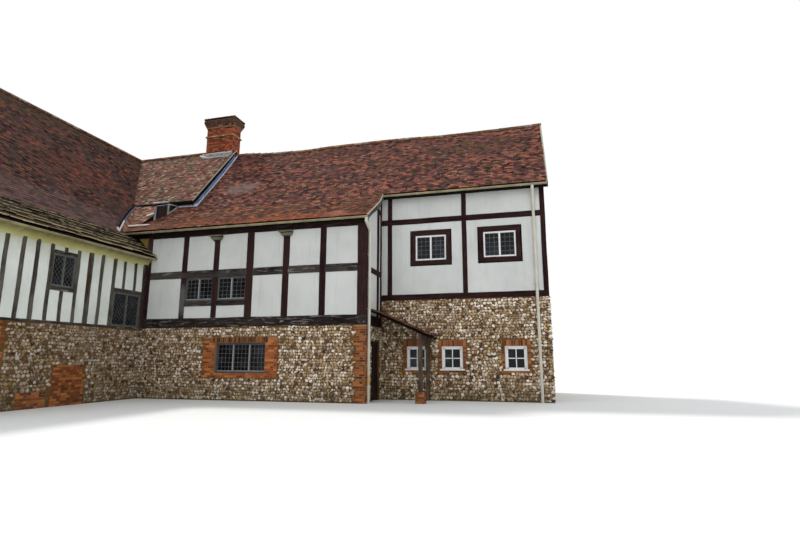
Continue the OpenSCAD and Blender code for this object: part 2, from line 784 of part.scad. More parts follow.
module wing_side_plaster_panels() color("#dbdbd3") {
    difference() {
        box(-plaster_back - plaster_t, -plaster_back, wing_south_y, 0, wing_stud_z, wing_plate_z);
        wing_east_studs();
        wing_side_beams();
        facing_east(0, -low_win[1]) box(0, low_win[1] - low_win[0], -1, frame_t, low_win[2], low_win[3]);
        facing_east(0, -tall_win[1]) box(0, tall_win[1] - tall_win[0], -1, frame_t, tall_win[2], tall_win[3]);
    }
    difference() {
        facing_west(-wing_w, back_y) plaster_slab(west_l, wing_stud_z, wing_plate_z);
        wing_west_studs();
        wing_side_beams();
        facing_west(-wing_w, back_y) window_gaps(west_wins);
    }
}

// Coved plaster under the eaves: a hollow curve from the wall out to the gutter
cove_x = wing_eave_out - wing_rafter_back;
cove_top = wing_eave_z - tile_nose - gutter_r;
cove_steps = 6;
module cove_profile() polygon(concat(
    [for (i = [0:cove_steps]) let (a = 90 * i / cove_steps)
        [cove_x * (1 - cos(a)), cove_z + (cove_top - cove_z) * sin(a)]],
    [[cove_x, wing_top(cove_x) - stone_tv], [0, wing_top(0) - stone_tv]]));
module wing_coved_eaves() color("#cfcfc4") {
    along_y(wing_south_y, 0) cove_profile();
    across_wing() along_y(wing_south_y, back_y) cove_profile();
}

// Gable ends of the wing
end_l = wing_w - 2 * frame_t;
end_n = 18;
end_wins = [for (c = [end_l * 0.25, end_l * 0.75]) [c - 550, c + 550, 3250, 4400]];
module end_lattice() difference() {
    union() {
        box(0, end_l, 0, frame_t, wing_flint_h, wing_stud_z);
        for (i = [0:end_n]) translate([stud_w / 2 + (end_l - stud_w) * i / end_n, 0, 0])
            box(-stud_w / 2, stud_w / 2, 0, frame_t, wing_stud_z, far / 2);
        for (z = wing_end_rails) box(0, end_l, 0, frame_t, z, z + 240);
        for (g = end_wins) box(g[0] - stud_w, g[1] + stud_w, 0, frame_t, g[2] - stud_w, g[3] + stud_w);
    }
    window_gaps(end_wins);
}
module end_frame_shape(south) intersection() {
    union() {
        if (south) facing_south(-wing_w + frame_t, wing_south_y) end_lattice();
        if (!south) facing_north(-frame_t, back_y) end_lattice();
    }
    under_wing_roof(wing_south_y, back_y);
}
module end_panel_shape(south) difference() {
    intersection() {
        union() {
            if (south)
                facing_south(-wing_w + frame_t, wing_south_y) plaster_slab(end_l, wing_stud_z, far / 2);
            if (!south)
                facing_north(-frame_t, back_y) plaster_slab(end_l, wing_stud_z, far / 2);
        }
        under_wing_roof(wing_south_y, back_y);
    }
    end_frame_shape(south);
    if (south) facing_south(-wing_w + frame_t, wing_south_y) window_gaps(end_wins);
    if (!south) facing_north(-frame_t, back_y) window_gaps(end_wins);
}
module wing_end_timber_frames() color("#362a29") {
    end_frame_shape(true);
    end_frame_shape(false);
}
module wing_end_plaster_panels() color("#d8d8d0") {
    end_panel_shape(true);
    end_panel_shape(false);
}

// Roofs

verge_x = outshot_l + verge_out + barge_t;
east_verge_x = gable_x + verge_out;

module stack_hole(grow = 0)
    box(stack_x0 - grow, stack_x1 + grow, stack_y0 - grow, stack_y1 + grow, -far, far);

module outshot_roof() color("#7a4537") difference() {
    along_x(wing_ridge_x, outshot_l + verge_out) polygon(concat(
        [[-eave_out, eave_z], [bell_y, bell_z]],
        [for (y = bell_ys) [y, outshot_top(y)]],
        [[main_eave_y, main_eave_z - tile_nose],
         [main_eave_y + rafter_back, main_top(main_eave_y + rafter_back) - tile_nose],
         [main_eave_y + rafter_back, main_top(main_eave_y + rafter_back) - main_tv]],
        [for (i = [bell_steps - 1:-1:0]) let (y = bell_y + bellcast_l * i / bell_steps)
            [y, outshot_top(y) - outshot_tv]],
        [[-eave_out + rafter_back, outshot_top(-eave_out + rafter_back) - outshot_tv],
         [-eave_out + rafter_back, outshot_top(-eave_out + rafter_back) - tile_nose],
         [-eave_out, eave_z - tile_nose]]));
    wing_mass();
}

// The surface that the outshot and main roofs make from a given depth up to the boards
function lower_surface(y0) = concat([[y0, outshot_top(y0)]], y0 < bell_y ? [[bell_y, bell_z]] : [],
    [for (y = bell_ys) if (y > y0) [y, outshot_top(y)]], [[step_y, main_top(step_y)]]);

// A low tiled slope beside the valley, steeper than the outshot roof that it stands on
module valley_roof() color("#7c4738") difference() {
    intersection() {
        along_x(wing_ridge_x, 0)
            polygon(concat(lower_surface(low_slope_y), [[step_y, low_slope_top(step_y)]]));
        linear_extrude(far) polygon([[wing_ridge_x, low_slope_y], low_slope_foot, hatch_left,
            [hatch_left[0], step_y], [wing_ridge_x, step_y]]);
    }
    wing_mass();
}

// The main roof's tiled slope with its eave nose
module main_slope(x0, x1) along_x(x0, x1) polygon([
    [main_eave_y, main_eave_z], [ridge_y, main_ridge_z], [ridge_y, main_ridge_z - main_tv],
    [main_eave_y + rafter_back, main_top(main_eave_y + rafter_back) - main_tv],
    [main_eave_y + rafter_back, main_top(main_eave_y + rafter_back) - tile_nose],
    [main_eave_y, main_eave_z - tile_nose]
]);

module main_roof_front() color("#74402f") difference() {
    main_slope(wing_ridge_x, east_verge_x);
    wing_mass();
    stack_hole();
}

module main_roof_rear() color("#6f3d2e") difference() {
    across_range() main_slope(wing_ridge_x, east_verge_x);
    wing_mass();
    stack_hole();
}

module raised_slope() along_x(wing_ridge_x, raised_x) polygon([
    [raised_eave_y, raised_top(raised_eave_y)], [ridge_y, raised_top(ridge_y)],
    [ridge_y, raised_under(ridge_y)], [raised_eave_y, raised_under(raised_eave_y)]
]);

module raised_roof_front() color("#7d4a3b") difference() {
    raised_slope();
    wing_mass();
    stack_hole();
}

module raised_roof_rear() color("#75442f") difference() {
    across_range() raised_slope();
    wing_mass();
    stack_hole();
}

// Boards that close the step between the main roof and the raised roof
board_back = 55;
board_t = 32;
module raised_roof_boards() color("#2f2826") difference() {
    union() {
        along_x(raised_x - board_back, raised_x - board_back + board_t) step_profile();
        along_x(wing_ridge_x, raised_x - board_back) step_board();
        along_x(wing_ridge_x, raised_x - board_back) across_step() step_board();
    }
    wing_mass();
    stack_hole();
}
module across_step() translate([2 * ridge_y, 0]) mirror([1, 0]) children();
module step_profile() {
    module half() polygon([
        [step_y, main_top(step_y)], [ridge_y, main_ridge_z],
        [ridge_y, raised_under(ridge_y)], [step_y, raised_under(step_y)]
    ]);
    half();
    across_step() half();
}
module step_board() {
    y1 = step_y + board_t;
    polygon([[step_y, main_top(step_y)], [y1, main_top(y1)],
        [y1, raised_under(y1)], [step_y, raised_under(step_y)]]);
}

wing_y0 = wing_south_y - verge_out;
wing_y1 = back_y + verge_out;
module wing_slope() along_y(wing_y0, wing_y1) polygon([
    [stone_x, stone_top_z], [wing_ridge_x, wing_ridge_z],
    [wing_ridge_x, wing_ridge_z - wing_tv], [stone_x, stone_top_z - wing_tv]
]);
module wing_roof_east() color("#623a31") difference() {
    wing_slope();
    box(wedge_x, far, back_y, far, 0, far);
}
module wing_roof_west() color("#5f382f") across_wing() wing_slope();

// Courses of stone slabs, each lapping over the one below
stone_courses = 6;
module stone_profile() polygon(concat(
    [for (i = [0:stone_courses - 1]) let (x = wing_eave_out - stone_w * i / stone_courses) each [
        [x, wing_top(x) - (i == 0 ? 0 : 22)], [x, wing_top(x)]]],
    [[stone_x, stone_top_z], [stone_x, stone_top_z - stone_tv],
     [cove_x, wing_top(cove_x) - stone_tv], [cove_x, wing_top(cove_x) - 70],
     [wing_eave_out, wing_eave_z - 70]]));
module wing_stone_eaves() color("#6c6048") {
    along_y(wing_y0, 0) stone_profile();
    across_wing() along_y(wing_y0, wing_y1) stone_profile();
}

// Half round ridge tiles on the three ridges
ridge_drop = 60;
ridge_reach = 400;
module ridge_run_x(x0, x1, z) translate([x0, ridge_y, z - ridge_drop]) rotate([0, 90, 0]) difference() {
    cylinder(h = x1 - x0, r = ridge_r);
    translate([0, 0, -1]) cylinder(h = x1 - x0 + 2, r = ridge_r - ridge_tile_t);
}
module ridge_mass_x(x0, x1, z) along_x(x0 - 1, x1 + 1)
    polygon([[ridge_y, z], [ridge_y - ridge_reach, z - ridge_reach * main_s],
        [ridge_y + ridge_reach, z - ridge_reach * main_s]]);
module ridge_tiles() color("#80503c") {
    difference() {
        ridge_run_x(raised_x, east_verge_x + barge_t, main_ridge_z);
        ridge_mass_x(raised_x, east_verge_x + barge_t, main_ridge_z);
    }
    difference() {
        ridge_run_x(wing_ridge_x, stack_x0, main_ridge_z + raise_h);
        ridge_mass_x(wing_ridge_x, stack_x0, main_ridge_z + raise_h);
        translate([wing_ridge_x, 0, wing_ridge_z - ridge_drop]) rotate([-90, 0, 0])
            translate([0, 0, ridge_y - ridge_reach]) cylinder(h = 2 * ridge_reach, r = ridge_r);
    }
    wing_run = wing_y1 - wing_y0 + 2 * barge_t;
    difference() {
        translate([wing_ridge_x, wing_y0 - barge_t, wing_ridge_z - ridge_drop]) rotate([-90, 0, 0])
            difference() {
                cylinder(h = wing_run, r = ridge_r);
                translate([0, 0, -1]) cylinder(h = wing_run + 2, r = ridge_r - ridge_tile_t);
            }
        along_y(wing_y0 - barge_t - 1, wing_y1 + barge_t + 1) polygon([[wing_ridge_x, wing_ridge_z],
            [wing_ridge_x - ridge_reach, wing_ridge_z - ridge_reach * wing_s],
            [wing_ridge_x + ridge_reach, wing_ridge_z - ridge_reach * wing_s]]);
    }
}

// Boards along the verges
barge_drop = 25;
module barge_half() polygon([
    [main_eave_y, main_eave_z - barge_drop], [ridge_y, main_ridge_z - barge_drop],
    [ridge_y, main_ridge_z - barge_drop - barge_h / cos(main_pitch)],
    [main_eave_y, main_eave_z - barge_drop - barge_h]
]);
module wing_barge_half() polygon([
    [wing_eave_out, wing_eave_z - barge_drop], [stone_x, stone_top_z - barge_drop],
    [wing_ridge_x, wing_ridge_z - barge_drop],
    [wing_ridge_x, wing_ridge_z - barge_drop - barge_h / cos(wing_pitch)],
    [stone_x, stone_top_z - barge_drop - barge_h], [wing_eave_out, wing_eave_z - barge_drop - barge_h / 2]
]);
module across_wing_flat() translate([2 * wing_ridge_x, 0]) mirror([1, 0]) children();
module bargeboards() color("#55504b") {
    along_x(outshot_l + verge_out, verge_x) polygon(concat(
        [[-eave_out + rafter_back, outshot_top(-eave_out + rafter_back) - barge_drop],
         [bell_y, bell_z - barge_drop]],
        [for (y = bell_ys) [y, outshot_top(y) - barge_drop]],
        [[main_eave_y, main_eave_z - barge_drop - barge_h], [bell_y, bell_z - barge_drop - barge_h],
         [-eave_out + rafter_back, outshot_top(-eave_out + rafter_back) - barge_drop - barge_h / 2]]));
    along_x(east_verge_x, east_verge_x + barge_t) {
        barge_half();
        across_step() barge_half();
    }
    along_y(wing_y0 - barge_t, wing_y0) {
        wing_barge_half();
        across_wing_flat() wing_barge_half();
    }
    difference() {
        along_y(wing_y1, wing_y1 + barge_t) {
            wing_barge_half();
            across_wing_flat() wing_barge_half();
        }
        box(wedge_x, far, back_y, far, 0, far);
    }
}

// Lead: the strips beside and below the raised roof, the valley, the hatch and the chimney's apron
valley_y0 = -eave_out;
lead_lap = 5;
function valley_point(z, y, side) = [wing_x(z) + side, y];
function valley_side(side) = [
    valley_point(outshot_top(valley_y0), valley_y0, side),
    valley_point(outshot_top(low_slope_y), low_slope_y, side),
    valley_point(low_slope_top(raised_eave_y), raised_eave_y, side),
    valley_point(raised_top(raised_eave_y), raised_eave_y, side),
    valley_point(raised_top(ridge_y - ridge_r), ridge_y - ridge_r, side)];
module valley_lead() difference() {
    intersection() {
        wing_mass(lead_t);
        linear_extrude(far)
            polygon(concat(valley_side(-lead_w), [for (i = [4:-1:0]) valley_side(lead_lap)[i]]));
    }
    wing_mass();
    outshot_roof();
    valley_roof();
    raised_roof_front();
}
// A strip of lead that lies on the main roof between two depths
module roof_strip(x0, x1, y0, y1) along_x(x0, x1) polygon([
    [y0, main_top(y0)], [y1, main_top(y1)], [y1, main_top(y1) + lead_t], [y0, main_top(y0) + lead_t]]);
verge_board_x = raised_x - board_back + board_t;
foot_strip_w = 100;
apron_w = 150;
apron_up = 160;
module lead_flashings() color("#8b94a5") {
    roof_strip(verge_board_x, raised_x + lead_w, step_y - foot_strip_w, ridge_y - ridge_r);
    roof_strip(hatch_back[0], verge_board_x, step_y - foot_strip_w, step_y);
    valley_lead();
    // The strip at the foot of the low slope
    difference() {
        along_x(stone_x - 2 * lead_w, hatch_left[0] + 350) polygon([
            [low_slope_y - foot_strip_w, outshot_top(low_slope_y - foot_strip_w)],
            [low_slope_y, outshot_top(low_slope_y)],
            [low_slope_y, outshot_top(low_slope_y) + lead_t],
            [low_slope_y - foot_strip_w, outshot_top(low_slope_y - foot_strip_w) + lead_t]]);
        wing_mass(lead_t);
    }
    difference() {
        along_x(stack_x0 - 60, stack_x1 + 50) polygon([
            [stack_y0 - apron_w, raised_top(stack_y0 - apron_w)], [stack_y0, raised_top(stack_y0)],
            [stack_y0, raised_top(stack_y0) + apron_up], [stack_y0 - lead_t, raised_top(stack_y0) + apron_up],
            [stack_y0 - lead_t, raised_top(stack_y0 - lead_t) + lead_t],
            [stack_y0 - apron_w, raised_top(stack_y0 - apron_w) + lead_t]
        ]);
        stack_hole();
    }
    // The sheet on top of the hatch
    intersection() {
        along_x(hatch_left[0], 0) polygon([
            [hatch_left[1], hatch_top], [raised_eave_y, raised_under(raised_eave_y)],
            [raised_eave_y, raised_under(raised_eave_y) + lead_t], [hatch_left[1], hatch_top + lead_t]]);
        linear_extrude(far) hatch_plan();
    }
}

// The boarded hatch under the raised eave. Its front runs askew from the end of the low slope back
// to the boards, with a jamb at each side of the hatch board.
low_slope_foot = [-900, low_slope_y];
hatch_left = [-750, 930];
hatch_right = [-520, 1370];
hatch_back = [-350, step_y];
hatch_top = 7380;
hatch_turn = atan2(hatch_right[1] - hatch_left[1], hatch_right[0] - hatch_left[0]);
jamb_t = 60;
module hatch_plan() polygon([hatch_left, hatch_right, hatch_back, [hatch_left[0], step_y]]);
module hatch_jamb(at, back) translate(at) rotate(hatch_turn) translate([-back, -20]) square([jamb_t, 40]);
module roof_hatch() color("#3a3634") intersection() {
    linear_extrude(far) union() {
        hatch_plan();
        hatch_jamb(hatch_left, 0);
        hatch_jamb(hatch_right, jamb_t);
    }
    along_x(hatch_left[0], 0) polygon(concat(lower_surface(hatch_left[1] - jamb_t),
        [[step_y, raised_under(step_y)], [raised_eave_y, raised_under(raised_eave_y)],
         [hatch_left[1] - jamb_t, hatch_top - jamb_t * 0.45]]));
}

// Chimney

module chimney_stack() color("#a0543a") box(stack_x0, stack_x1, stack_y0, stack_y1, 0, stack_top_z0);

flue_gap = (stack_w - 2 * flue_w) / 3;
flue_foot = 150;
module flues() for (i = [0, 1])
    translate([stack_x0 + flue_gap + i * (flue_w + flue_gap), (stack_y0 + stack_y1 - flue_w) / 2,
        stack_top_z0 + flue_foot]) cube([flue_w, flue_w, far]);

// A course that stands out from the stack by the same amount all round
module stack_course(out, z0, z1)
    box(stack_x0 - out, stack_x1 + out, stack_y0 - out, stack_y1 + out, z0, z1);

cap_z = stack_h - cap_h;
module chimney_top() color("#a4583d") difference() {
    union() {
        stack_course(0, stack_top_z0, cap_z);
        stack_course(string_out, stack_h - string_z, stack_h - string_z + string_h);
        // Three corbelled courses carry two oversailing ones
        for (i = [1:3])
            stack_course(cap_out * i / 4, cap_z + (i - 1) * course_h, cap_z + i * course_h);
        stack_course(cap_out, cap_z + 3 * course_h, cap_z + 5 * course_h);
        stack_course(cap_out * 0.6, cap_z + 5 * course_h, stack_h);
    }
    flues();
}

// Rainwater goods

module gutter_profile() difference() {
    circle(r = gutter_r);
    circle(r = gutter_r - gutter_t);
    translate([-gutter_r - 1, 0]) square([2 * gutter_r + 2, gutter_r + 1]);
}
gutter_z = eave_z - tile_nose - 12;
gutter_y = -eave_out + rafter_back - gutter_r;
recess_gutter_z = main_eave_z - tile_nose - 12;
recess_gutter_y = main_eave_y + rafter_back - gutter_r;
wing_gutter_z = wing_eave_z - 70 - 12;
wing_gutter_x = cove_x + gutter_r;
gutter_end_gap = 5;
module gutters() color("#a19c84") {
    difference() {
        translate([0, gutter_y, gutter_z]) along_x(stone_x, verge_x) gutter_profile();
        wing_mass();
    }
    translate([0, recess_gutter_y, recess_gutter_z]) along_x(verge_x + 5, east_verge_x) gutter_profile();
    across_range() translate([0, recess_gutter_y, recess_gutter_z])
        along_x(verge_out + 10, east_verge_x) gutter_profile();
    translate([wing_gutter_x, 0, wing_gutter_z]) along_y(wing_y0, -gutter_end_gap) gutter_profile();
    across_wing() translate([wing_gutter_x, 0, wing_gutter_z]) along_y(wing_y0, wing_y1) gutter_profile();
}

// A round pipe between two points
module pipe(a, b) {
    d = b - a;
    translate(a) rotate([0, acos(d[2] / norm(d)), atan2(d[1], d[0])]) cylinder(h = norm(d), r = pipe_r);
}
collar_r = pipe_r + 7;
neck_drop = 110;
neck_h = 320;
main_pipe_y = 200;
// A downpipe: an outlet, a swan neck back to the wall and a straight fall
module downpipe(top, wall) {
    drop = [top[0], top[1], top[2] - neck_drop];
    back = [wall[0], wall[1], top[2] - neck_h];
    pipe(top, drop);
    translate(drop) sphere(r = collar_r);
    pipe(drop, back);
    translate(back) sphere(r = collar_r);
    pipe(back, [wall[0], wall[1], 0]);
}
// How far the plain downpipes stand from the corners of the house
east_pipe_back = 380;
rear_pipe_back = 500;
west_pipe_back = 400;
module downpipes() color("#c8c4ba") {
    downpipe([verge_x - gutter_r, gutter_y, gutter_z - gutter_r], [outshot_l + pipe_r, main_pipe_y]);
    east_x = gable_x - east_pipe_back;
    downpipe([east_x, recess_gutter_y, recess_gutter_z - gutter_r], [east_x, outshot_d - pipe_r]);
    rear_x = gable_x - rear_pipe_back;
    downpipe([rear_x, 2 * ridge_y - recess_gutter_y, recess_gutter_z - gutter_r], [rear_x, back_y + pipe_r]);
    west_y = back_y - west_pipe_back;
    downpipe([-wing_w - wing_gutter_x, west_y, wing_gutter_z - gutter_r], [-wing_w - pipe_r, west_y]);
}

// Windows

// A frame with its lights side by side, drawn flat with its outer face at Y = set
module window_frame(u0, u1, z0, z1, lights, set) difference() {
    box(u0, u1, set, set + win_d, z0, z1);
    for (i = [0:lights - 1]) window_light(u0, u1, z0, z1, lights, i, set - 1, set + win_d + 1);
}
module window_light(u0, u1, z0, z1, lights, i, y0, y1) {
    w = (u1 - u0 - win_bar * (lights + 1)) / lights;
    x = u0 + win_bar + i * (w + win_bar);
    box(x, x + w, y0, y1, z0 + win_bar, z1 - win_bar);
}
module window_panes(u0, u1, z0, z1, lights, set) for (i = [0:lights - 1])
    window_light(u0, u1, z0, z1, lights, i, set + win_d / 2, set + win_d / 2 + glass_t);

leaded_set = 30;
ground_set = 120;
casement_set = 40;

module front_window_set(glass) {
    for (i = window_bays) {
        b = front_bays[i];
        one_window(glass, [b[0], b[1], front_win_z, rail_z], 2, leaded_set);
    }
    one_window(glass, [ground_win_x, ground_win_x + ground_win_w, ground_win_z, ground_win_z + ground_win_h],
        3, ground_set);
}

module one_window(glass, w, lights, set) {
    if (glass) window_panes(w[0], w[1], w[2], w[3], lights, set);
    else window_frame(w[0], w[1], w[2], w[3], lights, set);
}

// A casement of the flint walls with its sill board, which runs past the opening at both sides
sill_board_h = 45;
sill_board_out = 40;
sill_horn = 60;
module casement_window(glass, u) {
    one_window(glass, casement(u), 1, casement_set);
    if (!glass) {
        top = casement_z + sill_board_h;
        box(u - sill_horn, u + casement_w + sill_horn, -sill_board_out, 0, casement_z, top);
        box(u, u + casement_w, -1, casement_set + 1, casement_z, top);
    }
}

module wing_window_set(glass) {
    for (w = [low_win, tall_win])
        facing_east(0, -w[1]) one_window(glass, [0, w[1] - w[0], w[2], w[3]], 2, leaded_set);
    facing_west(-wing_w, back_y) for (g = west_wins) one_window(glass, g, 2, leaded_set);
    facing_south(-wing_w + frame_t, wing_south_y) for (g = end_wins) one_window(glass, g, 3, leaded_set);
    facing_north(-frame_t, back_y) for (g = end_wins) one_window(glass, g, 3, leaded_set);
}

function casement(u) = [u, u + casement_w, casement_z, casement_z + casement_h];

module recess_window_set(glass) {
    facing_south(outshot_l, outshot_d) {
        for (u = recess_casements) casement_window(glass, u);
        for (g = recess_wins) one_window(glass, g, 2, leaded_set);
    }
}

module rear_window_set(glass) {
    facing_north(gable_x, back_y) {
        for (u = rear_casements) casement_window(glass, u);
        for (g = rear_wins) one_window(glass, g, 2, leaded_set);
    }
    facing_east(gable_x, outshot_d) casement_window(glass, gable_casement_u);
    facing_east(gable_x, outshot_d + frame_t) for (g = gable_wins) one_window(glass, g, 2, leaded_set);
    facing_west(-wing_w, back_y) for (u = wing_side_casements) casement_window(glass, u);
    facing_south(-wing_w, wing_south_y) for (u = wing_end_casements) casement_window(glass, u);
    facing_north(0, back_y) for (u = wing_end_casements) casement_window(glass, u);
}

module front_windows() color("#8a8580") front_window_set(false);
module wing_windows() color("#8d8882") wing_window_set(false);
module recess_windows() color("#e8eaec") difference() {
    recess_window_set(false);
    porch_wall_post(casement_z + casement_h);
}
module rear_windows() color("#e4e6e8") rear_window_set(false);
module window_glass() color("#2a2f38") {
    front_window_set(true);
    wing_window_set(true);
    recess_window_set(true);
    rear_window_set(true);
}

// Porch

porch_s = tan(porch_pitch);
porch_x = outshot_l + porch_w;
porch_y0 = 400;
post_x = outshot_l + porch_post_x;
post_y = 440;
function porch_top(x) = porch_eave_z + porch_s * (porch_x - x);
porch_tv = porch_roof_t / cos(porch_pitch);
porch_beam_h = 140;

module porch_roof() color("#7d4736") along_y(porch_y0, outshot_d) polygon([
    [outshot_l, porch_top(outshot_l)], [porch_x, porch_eave_z],
    [porch_x, porch_eave_z - porch_tv], [outshot_l, porch_top(outshot_l) - porch_tv]
]);

// The post against the recess wall. The sill of the casement behind the porch stops at it.
module porch_wall_post(top)
    box(post_x, post_x + porch_post_w, outshot_d - porch_post_w, outshot_d, 0, top);

module porch_posts() color("#6a625c") {
    under = porch_top(post_x + porch_post_w) - porch_tv;
    beam_z = under - porch_beam_h;
    wall_face = outshot_d - porch_post_w;
    brace_l = 480;
    difference() {
        union() {
            box(post_x, post_x + porch_post_w, post_y, post_y + porch_post_w, plinth_h, beam_z);
            porch_wall_post(beam_z);
            box(post_x, post_x + porch_post_w, post_y, outshot_d, beam_z, porch_eave_z + 400);
            // A brace from the wall post up to the beam
            along_x(post_x + porch_post_w / 4, post_x + porch_post_w * 3 / 4) polygon([
                [wall_face, beam_z - brace_l], [wall_face, beam_z - brace_l + porch_post_w],
                [wall_face - brace_l + porch_post_w, beam_z], [wall_face - brace_l, beam_z]
            ]);
        }
        along_y(-far, far) polygon([
            [outshot_l - 10, porch_top(outshot_l - 10) - porch_tv],
            [porch_x + 10, porch_top(porch_x + 10) - porch_tv],
            [porch_x + 10, far], [outshot_l - 10, far]
        ]);
    }
}

module porch_plinths() color("#9a543d")
    box(post_x + porch_post_w / 2 - plinth_w / 2, post_x + porch_post_w / 2 + plinth_w / 2,
        post_y + porch_post_w / 2 - plinth_w / 2, post_y + porch_post_w / 2 + plinth_w / 2, 0, plinth_h);

// The door's planks stand in a frame set back in the wall.
door_frame_w = 80;
door_frame_d = 100;
door_set = 60;
door_t = 40;
module porch_door() color("#4a4038") facing_east(outshot_l, door_y) {
    plank_y = door_set + (door_frame_d - door_t) / 2;
    box(door_frame_w, door_w - door_frame_w, plank_y, plank_y + door_t, 10, door_h - door_frame_w);
    difference() {
        box(0, door_w, door_set, door_set + door_frame_d, 0, door_h);
        box(door_frame_w, door_w - door_frame_w, 0, flint_t, -1, door_h - door_frame_w);
    }
}

// Floors

// The floors fill the house from wall to wall. The inset is that of the walls at the floor's height;
// beside the recess and at the east gable they are flint up to above the upper floor.
module floor_slab(z0, z1, inset) {
    box(-wing_w + inset, 0, wing_south_y + inset, back_y - inset, z0, z1);
    box(-1, outshot_l - inset, inset, outshot_d, z0, z1);
    box(-1, outshot_l - flint_t, outshot_d - 1, outshot_d + flint_t + 1, z0, z1);
    box(-1, gable_x - flint_t, outshot_d + flint_t, back_y - inset, z0, z1);
}
module ground_floor() color("#8e8778") difference() {
    floor_slab(0, ground_floor_t, flint_t);
    stack_hole();
    box(-flint_t, 0, wing_south_y, flint_t, -1, far);
}
module upper_floor() color("#7b6248") difference() {
    floor_slab(upper_floor_z - upper_floor_t, upper_floor_z, frame_t);
    stack_hole();
    box(-frame_t, 0, wing_south_y, frame_t, -1, far);
}

front_flint_wall();
recess_flint_wall();
side_flint_walls();
rear_flint_wall();
wing_side_flint_walls();
wing_end_flint_walls();
front_brickwork();
recess_brickwork();
wing_brickwork();
front_beams();
front_posts();
front_plaster_panels();
post_brackets();
side_timber_frames();
side_plaster_panels();
recess_timber_frame();
recess_plaster_panels();
rear_timber_frame();
rear_plaster_panels();
wing_side_beams();
wing_side_studs();
wing_side_plaster_panels();
wing_end_timber_frames();
wing_end_plaster_panels();
wing_coved_eaves();
outshot_roof();
valley_roof();
main_roof_front();
main_roof_rear();
raised_roof_front();
raised_roof_rear();
raised_roof_boards();
wing_roof_east();
wing_roof_west();
wing_stone_eaves();
ridge_tiles();
bargeboards();
lead_flashings();
roof_hatch();
chimney_stack();
chimney_top();
gutters();
downpipes();
front_windows();
wing_windows();
recess_windows();
rear_windows();
window_glass();
porch_posts();
porch_plinths();
porch_roof();
porch_door();
ground_floor();
upper_floor();
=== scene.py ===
"""Half timbered house: its finishes and fine pieces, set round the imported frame.

Everything is in metres in the frame's own axes: the origin is the inner corner of the two fronts at
ground level, +X runs along the main front, +Y towards the back and +Z up.
"""

from __future__ import annotations

import json
import logging
import math
import random
from collections.abc import Callable, Iterator, Sequence
from dataclasses import dataclass
from enum import Enum, IntEnum

import bmesh
import bpy
from mathutils import Matrix, Vector, noise

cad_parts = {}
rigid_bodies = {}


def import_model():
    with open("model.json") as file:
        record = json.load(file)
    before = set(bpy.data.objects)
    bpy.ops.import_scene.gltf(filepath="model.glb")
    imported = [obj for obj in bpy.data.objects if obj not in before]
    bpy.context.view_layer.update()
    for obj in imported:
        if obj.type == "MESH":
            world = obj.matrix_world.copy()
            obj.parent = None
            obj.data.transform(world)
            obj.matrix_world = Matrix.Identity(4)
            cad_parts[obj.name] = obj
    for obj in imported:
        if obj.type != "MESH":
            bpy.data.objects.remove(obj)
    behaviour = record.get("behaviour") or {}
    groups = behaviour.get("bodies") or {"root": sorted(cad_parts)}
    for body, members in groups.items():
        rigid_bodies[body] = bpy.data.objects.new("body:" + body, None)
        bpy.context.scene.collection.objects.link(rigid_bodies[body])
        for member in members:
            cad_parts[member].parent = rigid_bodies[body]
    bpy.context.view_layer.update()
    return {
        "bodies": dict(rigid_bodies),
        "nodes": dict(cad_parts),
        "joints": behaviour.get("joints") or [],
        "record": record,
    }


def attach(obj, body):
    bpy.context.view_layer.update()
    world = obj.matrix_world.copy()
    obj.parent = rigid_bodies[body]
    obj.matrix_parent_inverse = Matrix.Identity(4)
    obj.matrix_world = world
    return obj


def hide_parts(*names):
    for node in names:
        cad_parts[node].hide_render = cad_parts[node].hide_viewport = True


LOG = logging.getLogger("house")
FRAME: dict = {}
Colour = tuple[int, int, int]
Span = tuple[float, float]
Rect = tuple[float, float, float, float]
Material = bpy.types.Material
Mesh = bmesh.types.BMesh
Vert = bmesh.types.BMVert
UP = Vector((0, 0, 1))
EAST = Vector((1, 0, 0))


# The lines of the house


